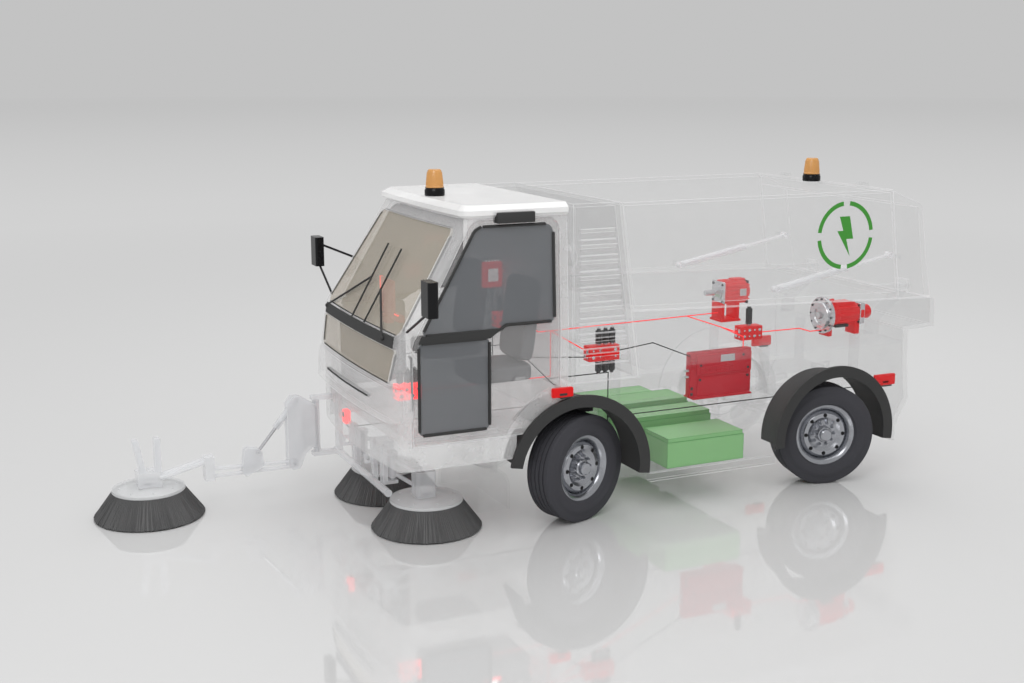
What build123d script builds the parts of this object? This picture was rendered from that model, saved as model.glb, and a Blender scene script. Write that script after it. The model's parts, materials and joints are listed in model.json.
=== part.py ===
"""Self-propelled sweeper: electric compact street sweeper with a swinging front brush.

Units are millimetres, +X forward, +Y left, +Z up, ground at Z = 0.
Lengths along X are written from a datum just behind the front axle, and every piece is
moved back by MIDDLE_X when it is saved, so that the origin lies under the middle of the machine.
Each piece is one STEP file in parts/, named after its node.
"""

import math
import os

from build123d import *

# Wheels and axles
TYRE_R = 398.5
TYRE_W = 233.0
RIM_R = 236.0
BEAD_R = 222.0
RIM_W = 180.0
FRONT_AXLE_X = 50.0
WHEELBASE = 2255.0
REAR_AXLE_X = FRONT_AXLE_X - WHEELBASE
AXLE_Z = TYRE_R
KINGPIN_Y = 655.0
KINGPIN_R = 16.0
SCRUB = 80.0
FRONT_STEER = 19.2
REAR_STEER = -13.5
STEER_ARM_LONG = 150.0
STEER_ARM_IN = 60.0
BEAM_H = 90.0
BEAM_D = 90.0

# Clearances
DOOR_GAP = 8.0
BODY_GAP = 10.0
FIT = 0.3
RUN_GAP = 6.0

# Frame
RAIL_TOP = 730.0
RAIL_H = 120.0
RAIL_W = 60.0
RAIL_Y = 370.0
RAIL_FRONT = 1345.0
RAIL_REAR = -2800.0
CROSS_D = 60.0
TRAY_TOP = 300.0
TRAY_T = 15.0
DECK_TOP = 1120.0
DECK_T = 20.0
DECK_FRONT = -470.0
DECK_REAR = -2840.0
POST = 60.0

# Cab
CAB_REAR = 158.0
CAB_WALL = 35.0
ROOF_BASE = 2262.0
ROOF_LIP = 55.0
ROOF_RISE = 88.0
ROOF_OUT = 30.0
GLASS_T = 6.0
GLASS_IN = 12.0
SEAT_Z = 1060.0
DASH_TOP = 1440.0
WHEEL_Y = -440.0

# Body
BODY_HW = 892.0
CAB_HW = BODY_HW - 28.0
BUMPER_HW = BODY_HW - 20.0
SENSOR_IN = BODY_HW - 62.0
SKIN = 25.0
HOPPER_TOP = 2332.0
HOPPER_REAR = -2638.0
HOPPER_SLOPE = -0.132
TOWER_FRONT = 128.0
TOWER_HW = 870.0
TOWER_BASE = 1060.0
TOWER_TOP = 2335.0
TOWER_TOP_X = -236.0
TOWER_BASE_X = -408.0
BELT_FRONT = (-400.0, 1550.0)
BELT_REAR = (-3077.0, 1457.0)
TAIL_X = -3139.0
TIP_HINGE = (-3070.0, 1510.0)
GATE_HINGE = (-2642.0, 2350.0)
GATE_HINGE_Y = 515.0
GATE_KNUCKLE_R = 16.0
GATE_PIN_R = 8.0
GATE_CYL_ROOT = (-1720.0, 1585.0)
GATE_CYL_EYE = (-2800.0, 1790.0)
GATE_CYL_Y = (670.0, 730.0)
GATE_BARREL_R = 30.0
GATE_ROD_R = 15.0
GATE_BARREL_L = 670.0
GATE_ROD_L = 1055.0
CYL_PIN_R = 12.0
TIP_PIN_R = 16.0

# Wheel arches
ARCH_R = 568.0
ARCH_IN = 480.0
LINER_T = 20.0
LINER_Y = 480.0
FLANGE_T = 25.0

# Towing lugs
TOW_Y = 250.0
TOW_T = 25.0
TOW_BORE_R = 20.0
TOW_REAR_X = -2972.0

# Brushes and front arm
BRISTLE_R = 405.0
BRISTLE_TOP_R = 262.0
BRISTLE_Z = 5.0
BRISTLE_TOP = 205.0
PLATE_T = 26.0
SIDE_BRUSH = (1085.0, 445.0)
SIDE_PIVOT = (1300.0, 330.0)
FRONT_BRUSH = (2870.0, -640.0)
TURRET = (1600.0, -560.0)
BOOM_ROOT = (1783.0, 285.0)
LIFT_TOP = (1756.0, 779.0)
LIFT_EYE = (2060.0, 410.0)

FRONT_TIP_X = FRONT_BRUSH[0] + BRISTLE_R
MIDDLE_X = (FRONT_TIP_X + TAIL_X) / 2

os.makedirs("parts", exist_ok=True)


def save(name, *shapes):
    """Write one node, moved so that the origin is under the middle of the machine."""
    move = Pos(-MIDDLE_X, 0, 0)
    solids = [move * solid for shape in shapes for solid in shape.solids()]
    export_step(Compound(children=solids) if len(solids) > 1 else solids[0], f"parts/{name}.step")


def block(x, y, z):
    """Box between low and high values along each axis, given as pairs."""
    size = [high - low for low, high in (x, y, z)]
    middle = [(high + low) / 2 for low, high in (x, y, z)]
    return Pos(*middle) * Box(*size)


def outline_face(points, radius=0.0):
    """Flat face from points, with one radius for all corners or a list of radii."""
    if isinstance(radius, (int, float)) and radius == 0:
        return make_face(Polyline(*points, close=True))
    return make_face(FilletPolyline(*points, radius=radius, close=True))


def side_prism(points, y, radius=0.0):
    """Side outline (x, z) extruded between two widths."""
    return Pos(0, y[1], 0) * extrude(Plane.XZ * outline_face(points, radius), y[1] - y[0])


def front_prism(points, x, radius=0.0):
    """Front outline (y, z) extruded between two lengths."""
    return Pos(x[0], 0, 0) * extrude(Plane.YZ * outline_face(points, radius), x[1] - x[0])


def bar(start, end, radius):
    """Round bar between two points."""
    a, b = Vector(*start), Vector(*end)
    seat = Plane(origin=a, z_dir=b - a)
    return seat * Cylinder(radius, (b - a).length, align=(Align.CENTER, Align.CENTER, Align.MIN))


def upright(place, z, radius):
    """Round bar standing at (x, y) between two heights."""
    return bar((place[0], place[1], z[0]), (place[0], place[1], z[1]), radius)


def across(place, y, radius):
    """Round bar lying at (x, z) between two widths."""
    return bar((place[0], y[0], place[1]), (place[0], y[1], place[1]), radius)


def mirrored(shape):
    """The shape on the other side of the machine."""
    return mirror(shape, Plane.XZ)


def both(shape):
    """The shape and its mirror image on the other side."""
    return [shape, mirrored(shape)]


def belt_z(x):
    """Height of the belt line between hopper and lower body."""
    share = (x - BELT_FRONT[0]) / (BELT_REAR[0] - BELT_FRONT[0])
    return BELT_FRONT[1] + share * (BELT_REAR[1] - BELT_FRONT[1])


def tower_x(z):
    """Rear edge of the cooling tower at a height."""
    share = (z - TOWER_BASE) / (TOWER_TOP - TOWER_BASE)
    return TOWER_BASE_X + share * (TOWER_TOP_X - TOWER_BASE_X)


# Cab form: one row per height
# columns: height, side end x, side y, corner x, corner y, nose x
CAB_ROWS = [
    (RAIL_TOP, 1335.0, CAB_HW, 1385.0, CAB_HW - 64.0, 1400.0),
    (1100.0, 1335.0, CAB_HW, 1385.0, CAB_HW - 64.0, 1400.0),
    (1149.0, 1395.0, CAB_HW, 1476.0, CAB_HW - 94.0, 1500.0),
    (1479.0, 1335.0, CAB_HW, 1419.0, CAB_HW - 42.0, 1445.0),
    (2208.0, 878.0, CAB_HW - 38.0, 962.0, CAB_HW - 129.0, 985.0),
    (ROOF_BASE, 846.0, CAB_HW - 42.0, 928.0, CAB_HW - 134.0, 950.0),
]


def plan_face(rear_x, side_x, side_y, corner_x, corner_y, nose_x):
    """Level outline of a body with a bowed front and rounded corners."""
    turn_x = side_x + (corner_x - side_x) * 0.72
    turn_y = corner_y + (side_y - corner_y) * 0.72
    return make_face(Wire([
        Line((rear_x, -side_y), (side_x, -side_y)),
        ThreePointArc((side_x, -side_y), (turn_x, -turn_y), (corner_x, -corner_y)),
        ThreePointArc((corner_x, -corner_y), (nose_x, 0), (corner_x, corner_y)),
        ThreePointArc((corner_x, corner_y), (turn_x, turn_y), (side_x, side_y)),
        Line((side_x, side_y), (rear_x, side_y)),
        Line((rear_x, side_y), (rear_x, -side_y)),
    ]))


def cab_form(inset, floor=0.0, above=0.0):
    """Closed cab body, drawn in by an inset on every wall."""
    faces = []
    for height, side_x, side_y, corner_x, corner_y, nose_x in CAB_ROWS:
        if height == RAIL_TOP:
            height += floor
        if height == ROOF_BASE:
            height += above
        face = plan_face(CAB_REAR + inset, side_x - inset * 0.5, side_y - inset,
                         corner_x - inset, corner_y - inset * 0.6, nose_x - inset)
        faces.append(Pos(0, 0, height) * face)
    return loft(faces, ruled=True)


# Door outline
DOOR_FRONT = 1320.0
DOOR_SILL = 740.0
DOOR_BELT = 1440.0
DOOR_TOP = 2245.0
DOOR_TOP_FRONT = 862.0
DOOR_REAR = 225.0
DOOR_ARCH_R = 690.0
DOOR_Y = (760.0, 1000.0)
DOOR_HINGE = (1324.0, CAB_HW + 6.0)
DOOR_HINGE_Z = (900.0, 1370.0)
KNUCKLE_R = 12.0
KNUCKLE_H = 20.0
DOOR_PIN_R = 6.0


def door_prism(grow):
    """Left door outline, grown on every side and cut over the front wheel."""
    low, rear, front = DOOR_SILL - grow, DOOR_REAR - grow, DOOR_FRONT + grow
    top = DOOR_TOP + grow
    points = [(front, low), (front, DOOR_BELT), (DOOR_TOP_FRONT + grow, top), (rear, top), (rear, low)]
    solid = side_prism(points, DOOR_Y, [4, 160, 110 + grow, 80 + grow, 4])
    return solid - across((FRONT_AXLE_X, AXLE_Z), DOOR_Y, DOOR_ARCH_R - grow)


UPPER_PANE = [(1262.0, 1492.0), (842.0, 2205.0), (262.0, 2205.0), (262.0, 1522.0), (640.0, 1522.0), (680.0, 1492.0)]
LOWER_PANE = [(1284.0, 800.0), (1284.0, 1440.0), (762.0, 1440.0), (762.0, 800.0)]
SCREEN = [(-812.0, 1492.0), (812.0, 1492.0), (722.0, 2192.0), (-722.0, 2192.0)]
NOSE_PANE = [(-758.0, 1166.0), (758.0, 1166.0), (800.0, 1402.0), (-800.0, 1402.0)]


def pane_prisms():
    """The two window openings of the left door."""
    upper = side_prism(UPPER_PANE, DOOR_Y, [20, 90, 60, 28, 10, 10])
    return upper + side_prism(LOWER_PANE, DOOR_Y, 28.0)


def screen_prisms():
    """Windscreen and nose window openings."""
    reach = (700.0, 1600.0)
    return front_prism(SCREEN, reach, 60.0) + front_prism(NOSE_PANE, reach, 25.0)


def wheel_drum(radius, inner_y):
    """Drums over both front wheels, for clearing what they pass."""
    left = across((FRONT_AXLE_X, AXLE_Z), (inner_y, 1000.0), radius)
    return left + mirrored(left)


def door_hinges():
    """Outer knuckles with their pins, inner knuckles, and the room each pair needs."""
    fixed, moving, fixed_room, moving_room = [], [], [], []
    half = KNUCKLE_H / 2
    for z in DOOR_HINGE_Z:
        for low in (z - 3 * half, z + half):
            fixed.append(upright(DOOR_HINGE, (low, low + KNUCKLE_H), KNUCKLE_R))
            moving_room.append(upright(DOOR_HINGE, (low - 1, low + KNUCKLE_H + 1), KNUCKLE_R + 1))
        fixed.append(upright(DOOR_HINGE, (z - 3 * half, z + 3 * half), DOOR_PIN_R - FIT))
        sleeve = upright(DOOR_HINGE, (z - half + FIT, z + half - FIT), KNUCKLE_R)
        moving.append(sleeve - upright(DOOR_HINGE, (z - half, z + half), DOOR_PIN_R))
        fixed_room.append(upright(DOOR_HINGE, (z - half, z + half), KNUCKLE_R + 1))
    return fixed, moving, fixed_room, moving_room


def make_cab(routes):
    """Cab shell, roof, glass, doors and their glass."""
    outer = cab_form(0)
    windows, door_hole = screen_prisms(), door_prism(DOOR_GAP)
    fixed, moving, fixed_room, moving_room = door_hinges()
    shell = outer - cab_form(CAB_WALL, floor=CAB_WALL, above=1.0) - windows
    shell = shell - door_hole - mirrored(door_hole) - wheel_drum(ARCH_IN + LINER_T, LINER_Y)
    for room in fixed_room:
        shell = shell - both(room)
    for knuckle_solid in fixed:
        shell = shell + both(knuckle_solid)
    save("cab_shell", shell - routes)
    pane_layer = cab_form(GLASS_IN) - cab_form(GLASS_IN + GLASS_T)
    save("cab_glass", pane_layer & windows)
    panes = pane_prisms()
    panel = ((outer - cab_form(CAB_WALL)) & door_prism(0)) - panes
    handle = block((482, 590), (CAB_HW - 2, CAB_HW + 22), (1122, 1150))
    handle = handle - block((500, 572), (CAB_HW - 4, CAB_HW + 14), (1100, 1160))
    panel = panel + handle - moving_room + moving
    for side, shape in (("left", panel), ("right", mirrored(panel))):
        save(f"door_{side}", shape)
    for side, shape in (("left", pane_layer & panes), ("right", mirrored(pane_layer & panes))):
        save(f"door_glass_{side}", shape)


def make_roof():
    """Roof cap with its lip, resting on the cab walls."""
    height, side_x, side_y, corner_x, corner_y, nose_x = CAB_ROWS[-1]
    faces = []
    # columns: rise above the cab walls, how far the edge stands out
    for rise, out in ((0.0, 0.0), (ROOF_LIP * 0.4, ROOF_OUT), (ROOF_LIP, ROOF_OUT), (ROOF_RISE, -ROOF_OUT * 0.6)):
        face = plan_face(CAB_REAR, side_x + out, side_y + out, corner_x + out, corner_y + out, nose_x + out)
        faces.append(Pos(0, 0, height + rise) * face)
    save("cab_roof", loft(faces, ruled=True))


def beacon(place, base_z):
    """Amber beacon on its black foot, at (x, y)."""
    foot = upright(place, (base_z, base_z + 60), 74)
    lens_base = Plane(origin=(place[0], place[1], base_z + 60)) * Circle(68)
    lens_top = Plane(origin=(place[0], place[1], base_z + 190)) * Circle(54)
    return foot + loft([lens_base, lens_top])


# Where the two mirror arms leave the cab wall
MIRROR_ROOTS = [(1110.0, 790.0, 1780.0), (1360.0, 790.0, 1500.0)]


def make_mirrors():
    """Rear view mirrors on two arms each."""
    head = block((1312, 1384), (1172, 1322), (1700, 1932))
    head = fillet(head.edges().filter_by(Axis.Z), 18)
    arms = bar(MIRROR_ROOTS[0], (1348, 1200, 1880), 9) + bar(MIRROR_ROOTS[1], (1348, 1240, 1730), 9)
    solid = head + (arms - cab_form(0))
    save("mirrors", *both(solid))


def make_inside():
    """Seats, dashboard with steering column and wheel."""
    floor = RAIL_TOP + CAB_WALL
    base = block((420, 700), (240, 470), (floor, SEAT_Z))
    cushion = block((330, 800), (240, 680), (SEAT_Z, SEAT_Z + 120))
    back = side_prism([(330, SEAT_Z + 120), (450, SEAT_Z + 120), (360, 1800), (250, 1800)], (250, 670), 30)
    save("seats", *both(base + fillet(cushion.edges().filter_by(Axis.Z), 60) + back))
    dash = side_prism([(1300, 1120), (1400, 1170), (1360, 1400), (1330, DASH_TOP), (1150, DASH_TOP), (1100, 1400),
                       (1250, 1300)], (-620, 460), 12)
    for y in (-600, 400):
        dash = dash + block((1290, 1330), (y, y + 40), (floor, 1300))
    column = bar((1240, WHEEL_Y, 1000), (1040, WHEEL_Y, 1450), 28)
    axis = Vector(1040, WHEEL_Y, 1450) - Vector(1240, WHEEL_Y, 1000)
    wheel = Plane(origin=(1036, WHEEL_Y, 1459), z_dir=axis) * (Torus(200, 16) + Box(380, 40, 14) + Cylinder(45, 30))
    foot = bar((1320, WHEEL_Y, floor + 10), (1240, WHEEL_Y, 1000), 28)
    foot = foot & block((0, 2000), (-900, 900), (floor, 2000))
    save("dashboard", dash + column + foot + wheel)


def make_frame(routes):
    """Chassis rails, cross members, battery tray, deck and posts."""
    rail_z = (RAIL_TOP - RAIL_H, RAIL_TOP)
    rail = block((RAIL_REAR, RAIL_FRONT), (RAIL_Y - RAIL_W / 2, RAIL_Y + RAIL_W / 2), rail_z)
    frame = rail + mirrored(rail)
    for x in (RAIL_FRONT, 700.0, -480.0, -1520.0, RAIL_REAR):
        frame += block((x, x + CROSS_D), (-RAIL_Y - RAIL_W / 2, RAIL_Y + RAIL_W / 2), rail_z)
    frame += block((RAIL_FRONT, RAIL_FRONT + CROSS_D), (-700, 700), rail_z)
    # Battery tray on hangers
    tray = block((-1440, -500), (-830, 830), (TRAY_TOP - TRAY_T, TRAY_TOP))
    for x in (-500.0, -1440.0 + 40):
        for shape in both(block((x - 40, x), (RAIL_Y - 30, RAIL_Y + 30), (TRAY_TOP - TRAY_T, RAIL_TOP - 60))):
            tray += shape
    frame += tray
    # Deck on posts
    deck = block((DECK_REAR, DECK_FRONT), (-BODY_HW + SKIN, BODY_HW - SKIN), (DECK_TOP - DECK_T, DECK_TOP))
    for x in (DECK_FRONT - POST, -1900.0, RAIL_REAR + 1):
        for shape in both(block((x, x + POST), (RAIL_Y - 30, RAIL_Y + 30), (RAIL_TOP - 1, DECK_TOP - 1))):
            deck += shape
    frame += deck
    # Hinge posts of the hopper
    lug = side_prism([(-2840, DECK_TOP - DECK_T), (-2700, DECK_TOP - DECK_T), (-2720, 1260), (-3042, 1538),
                      (-3090, 1538), (-3100, 1440), (-2840, 1240)], (558, 582), 6)
    pin = across(TIP_HINGE, (540, 640), TIP_PIN_R - FIT)
    for shape in both(lug + pin):
        frame += shape
    rear_lug = block((TOW_REAR_X - 38, RAIL_REAR + 1), (TOW_Y - TOW_T / 2, TOW_Y + TOW_T / 2), (632, 708))
    rear_lug = rear_lug - across((TOW_REAR_X, 670), (0, 1000), TOW_BORE_R)
    for shape in both(rear_lug):
        frame += shape
    save("chassis_frame", frame - routes)


def axle(axle_x, drive):
    """Beam axle with kingpin eyes and leaf springs; the drive axle has a gear casing."""
    beam = block((axle_x - BEAM_D / 2, axle_x + BEAM_D / 2), (-KINGPIN_Y + 30, KINGPIN_Y - 30),
                 (AXLE_Z - BEAM_H / 2, AXLE_Z + BEAM_H / 2))
    beam = beam + [upright((axle_x, side * KINGPIN_Y), (AXLE_Z - 45, AXLE_Z + 45), 38) for side in (1, -1)]
    beam = beam + [upright((axle_x, side * KINGPIN_Y), (AXLE_Z - 60, AXLE_Z + 60), KINGPIN_R - FIT) for side in (1, -1)]
    if drive:
        beam = beam + Pos(axle_x, 0, AXLE_Z) * Sphere(135) + bar((axle_x, 0, AXLE_Z), (axle_x + 330, 0, AXLE_Z), 95)
    spring_z = RAIL_TOP - RAIL_H
    sag = spring_z - AXLE_Z - BEAM_H / 2
    half = 430.0
    top = [(axle_x - half, spring_z), (axle_x - half + 50, spring_z), (axle_x, spring_z - sag + 45),
           (axle_x + half - 50, spring_z), (axle_x + half, spring_z), (axle_x + half, spring_z - 40),
           (axle_x + half - 60, spring_z - 50), (axle_x, spring_z - sag), (axle_x - half + 60, spring_z - 50),
           (axle_x - half, spring_z - 40)]
    spring = side_prism(top, (RAIL_Y - 30, RAIL_Y + 30), [0, 0, 300, 0, 0, 0, 0, 300, 0, 0])
    seat = block((axle_x - 60, axle_x + 60), (RAIL_Y - 30, RAIL_Y + 30),
                 (AXLE_Z + BEAM_H / 2, AXLE_Z + BEAM_H / 2 + 30))
    return beam + both(spring + seat)


def steered(shape, axle_x, side, angle):
    """The shape turned about its kingpin."""
    pin = Pos(axle_x, side * KINGPIN_Y, 0)
    return pin * Rot(0, 0, angle) * shape


def knuckle(arm_way):
    """Left steering knuckle about its kingpin at the origin."""
    fork = block((-45, 45), (-45, 45), (AXLE_Z + 46, AXLE_Z + 64))
    fork = fork + block((-45, 45), (-45, 45), (AXLE_Z - 64, AXLE_Z - 46))
    fork = fork + block((-45, 45), (44, 60), (AXLE_Z - 64, AXLE_Z + 64))
    spindle = across((0, AXLE_Z), (50, SCRUB + 62), 30 - FIT)
    arm_end = (arm_way * STEER_ARM_LONG, -STEER_ARM_IN)
    arm_z = (AXLE_Z - 64, AXLE_Z - 46)
    arm = bar((0, 0, AXLE_Z - 55), (arm_end[0], arm_end[1], AXLE_Z - 55), 9)
    arm = arm + upright(arm_end, arm_z, 22)
    bore = upright((0, 0), (AXLE_Z - 70, AXLE_Z + 70), KINGPIN_R)
    return fork + spindle + arm - bore


def wheel_solids():
    """Tyre and rim about the wheel centre, axle along Y."""
    half, tread = TYRE_W / 2, TYRE_W / 2 - 18
    seat = RIM_W / 2 - 12
    tyre = [(BEAD_R, -seat), (BEAD_R, seat), (RIM_R + 6, seat), (RIM_R + 40, half - 4), (RIM_R + 80, half),
            (TYRE_R - 24, half - 8), (TYRE_R, tread), (TYRE_R, -tread), (TYRE_R - 24, -half + 8),
            (RIM_R + 80, -half), (RIM_R + 40, -half + 4), (RIM_R + 6, -seat)]
    tyre_solid = revolve(Plane.XY * outline_face(tyre), Axis.Y)
    edge = RIM_W / 2
    rim = [(30, 40), (120, 40), (150, 62), (178, 62), (196, 30), (205, -edge + 10), (RIM_R, -edge), (RIM_R, -edge + 8),
           (BEAD_R, -edge + 12), (BEAD_R, edge - 12), (RIM_R, edge - 8), (RIM_R, edge), (212, edge), (200, 44),
           (184, 72), (146, 72), (112, 52), (88, 52), (88, 110), (30, 110)]
    rim_solid = revolve(Plane.XY * outline_face(rim), Axis.Y)
    for index in range(8):
        turn = Rot(0, index * 45, 0)
        hole = turn * Pos(163, 67, 0) * Rot(90, 0, 0) * Cylinder(17, 60)
        rim_solid = rim_solid - hole
    return tyre_solid, rim_solid


def make_wheels():
    """Axles, knuckles, tyres, rims and track rods."""
    tyre, rim = wheel_solids()
    hub = Pos(0, SCRUB, AXLE_Z)
    # columns: name, axle x, steer angle, way of the steering arm, drive
    for end, axle_x, angle, way, drive in (("front", FRONT_AXLE_X, FRONT_STEER, -1, False),
                                           ("rear", REAR_AXLE_X, REAR_STEER, -1, True)):
        save(f"{end}_axle", axle(axle_x, drive))
        ends = []
        for name, side in (("left", 1), ("right", -1)):
            pieces = {"knuckle": knuckle(way), "tyre": hub * tyre, "rim": hub * rim}
            for piece, shape in pieces.items():
                shape = shape if side > 0 else mirrored(shape)
                save(f"{end}_{name}_{piece}", steered(shape, axle_x, side, angle))
            reach = Vector(way * STEER_ARM_LONG, -side * STEER_ARM_IN).rotate(Axis.Z, angle)
            ends.append((axle_x + reach.X, side * KINGPIN_Y + reach.Y))
        rod_z = AXLE_Z - 64 - FIT
        rod = bar((*ends[0], rod_z - 16), (*ends[1], rod_z - 16), 11)
        rod = rod + [upright(spot, (rod_z - 32, rod_z), 20) for spot in ends]
        save(f"{end}_track_rod", rod)


def arch(axle_x, from_deg, to_deg):
    """Black arch flange and liner over one left wheel, between two angles."""
    def sector(radius, y):
        return across((axle_x, AXLE_Z), y, radius)
    flange = sector(ARCH_R, (BODY_HW - FLANGE_T, BODY_HW)) - sector(ARCH_IN, (0, 1000))
    liner = sector(ARCH_IN + LINER_T, (LINER_Y + 120, BODY_HW)) - sector(ARCH_IN, (0, 1000))
    reach = 900.0
    wedge = [(axle_x, AXLE_Z)]
    steps = 4
    for index in range(steps + 1):
        angle = math.radians(from_deg + (to_deg - from_deg) * index / steps)
        wedge.append((axle_x + reach * math.cos(angle), AXLE_Z + reach * math.sin(angle)))
    return (flange + liner) & side_prism(wedge, (0, 1000))


def make_arches():
    """The four wheel arches."""
    front, rear = arch(FRONT_AXLE_X, 10, 188), arch(REAR_AXLE_X, -4, 188)
    # Cheek that closes the cab floor over the front tyre
    cheek = across((FRONT_AXLE_X, AXLE_Z), (LINER_Y, LINER_Y + LINER_T), ARCH_IN + LINER_T)
    cover = across((FRONT_AXLE_X, AXLE_Z), (LINER_Y, LINER_Y + 121), ARCH_IN + LINER_T)
    cover = cover - across((FRONT_AXLE_X, AXLE_Z), (0, 1000), ARCH_IN)
    keep = block((CAB_REAR - 400, 700), (0, 1000), (RAIL_TOP, 1000))
    front = front + ((cheek + cover) & keep)
    save("wheel_arches", *both(front), *both(rear))


def make_tower(routes, duct):
    """Cooling tower behind the cab with louvred sides."""
    outline = [(TOWER_FRONT, TOWER_BASE), (TOWER_FRONT, TOWER_TOP), (TOWER_TOP_X, TOWER_TOP), (TOWER_BASE_X, TOWER_BASE)]
    inner = [(TOWER_FRONT - SKIN, TOWER_BASE - 1), (TOWER_FRONT - SKIN, TOWER_TOP - SKIN),
             (TOWER_TOP_X + SKIN, TOWER_TOP - SKIN), (TOWER_BASE_X + SKIN, TOWER_BASE - 1)]
    tower = side_prism(outline, (-TOWER_HW, TOWER_HW)) - side_prism(inner, (-TOWER_HW + SKIN, TOWER_HW - SKIN))
    count, pitch, low = 9, 112.0, 1180.0
    for index in range(count):
        z = low + index * pitch
        slot = block((tower_x(z) + 60, TOWER_FRONT - 60), (-1000, 1000), (z, z + 78))
        tower = tower - slot
    for index in range(count):
        z = low + index * pitch
        blade = front_prism([(TOWER_HW - SKIN, z + 40), (TOWER_HW, z + 8), (TOWER_HW, z + 18), (TOWER_HW - SKIN, z + 50)],
                            (tower_x(z) + 60, TOWER_FRONT - 60))
        tower = tower + both(blade)
    save("cooling_tower", tower - routes - duct)


def lower_outline(inset):
    """Side outline of the fixed lower body, drawn in at the tail."""
    seam = BELT_REAR[1] - 5
    return [
        (TOWER_FRONT, 300), (TOWER_FRONT, TOWER_BASE), (TOWER_BASE_X - BODY_GAP, TOWER_BASE),
        (tower_x(1545) - BODY_GAP, belt_z(-400) - 5), (BELT_REAR[0], seam), (TAIL_X + 10 + inset, 1443),
        (TAIL_X + inset, 1213 + inset), (-2872 + inset, 1201 + inset), (-2885 + inset, 931),
        (-2915 + inset, 640), (-2800 + inset, 420), (-2800 + inset, 300),
    ]


def make_lower_body(routes):
    """Fixed side panels, rear wall, tail step and sills under the hopper."""
    walls = side_prism(lower_outline(0), (-BODY_HW, BODY_HW))
    hollow = side_prism(lower_outline(SKIN), (-BODY_HW + SKIN, BODY_HW - SKIN))
    hollow = hollow + block((-2774, 2000), (-BODY_HW + SKIN, BODY_HW - SKIN), (0, 2000))
    hollow = hollow + block((-3105, 0), (-BODY_HW + SKIN, BODY_HW - SKIN), (1240, 2000))
    walls = walls - hollow
    arch_cut = 1000.0
    for axle_x in (FRONT_AXLE_X, REAR_AXLE_X):
        walls = walls - across((axle_x, AXLE_Z), (-arch_cut, arch_cut), ARCH_R)
        walls = walls - block((axle_x - ARCH_R, axle_x + ARCH_R), (-arch_cut, arch_cut), (0, AXLE_Z))
    sill = block((-1636, -520), (BODY_HW - 50, BODY_HW), (250, 305))
    walls = walls + both(sill)
    lug_room = block((-3100, -2860), (TOW_Y - TOW_T / 2 - 5, TOW_Y + TOW_T / 2 + 5), (627, 713))
    save("lower_body", walls - both(lug_room) - routes)


def hopper_rear_x(z):
    """Rear edge of the hopper at a height."""
    return HOPPER_REAR + (z - HOPPER_TOP) * -HOPPER_SLOPE


def gate_hinges():
    """Hinge of the gate on one side: the hopper's knuckles with their pin, and the gate's knuckle."""
    x, z = GATE_HINGE
    fixed = across(GATE_HINGE, (GATE_HINGE_Y - 45, GATE_HINGE_Y + 45), GATE_PIN_R - FIT)
    for low in (GATE_HINGE_Y - 45, GATE_HINGE_Y + 15):
        knuckle_solid = across(GATE_HINGE, (low, low + 30), GATE_KNUCKLE_R)
        foot = side_prism([(x, z - GATE_KNUCKLE_R), (x + 60, HOPPER_TOP - 1), (x + 60, HOPPER_TOP + 6),
                           (x, z + GATE_KNUCKLE_R)], (low, low + 30))
        fixed = fixed + knuckle_solid + (foot & block((x + 4, x + 70), (low, low + 30), (HOPPER_TOP - 1, z + 20)))
    y = (GATE_HINGE_Y - 15 + FIT, GATE_HINGE_Y + 15 - FIT)
    moving = across(GATE_HINGE, y, GATE_KNUCKLE_R)
    moving = moving + block((x - 60, x - 12), y, (HOPPER_TOP - 30, z + 6)) - across(GATE_HINGE, (0, 1000), GATE_PIN_R)
    return fixed, moving


def make_gate_cylinders():
    """The two cylinders that open the gate, drawn with the gate shut."""
    middle = sum(GATE_CYL_Y) / 2
    root, eye = Vector(GATE_CYL_ROOT[0], middle, GATE_CYL_ROOT[1]), Vector(GATE_CYL_EYE[0], middle, GATE_CYL_EYE[1])
    way = (eye - root).normalized()
    length = (eye - root).length
    barrel = bar(root, root + way * GATE_BARREL_L, GATE_BARREL_R) + across(GATE_CYL_ROOT, GATE_CYL_Y, GATE_BARREL_R - 4)
    barrel = barrel - bar(root + way * 36, root + way * (GATE_BARREL_L + 1), GATE_ROD_R)
    barrel = barrel - across(GATE_CYL_ROOT, (0, 1000), CYL_PIN_R)
    save("gate_cylinder_barrels", *both(barrel))
    piston = bar(root + way * (length - GATE_ROD_L), eye, GATE_ROD_R - FIT) + across(GATE_CYL_EYE, GATE_CYL_Y, 26)
    save("gate_cylinder_rods", *both(piston - across(GATE_CYL_EYE, (0, 1000), CYL_PIN_R)))


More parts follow.
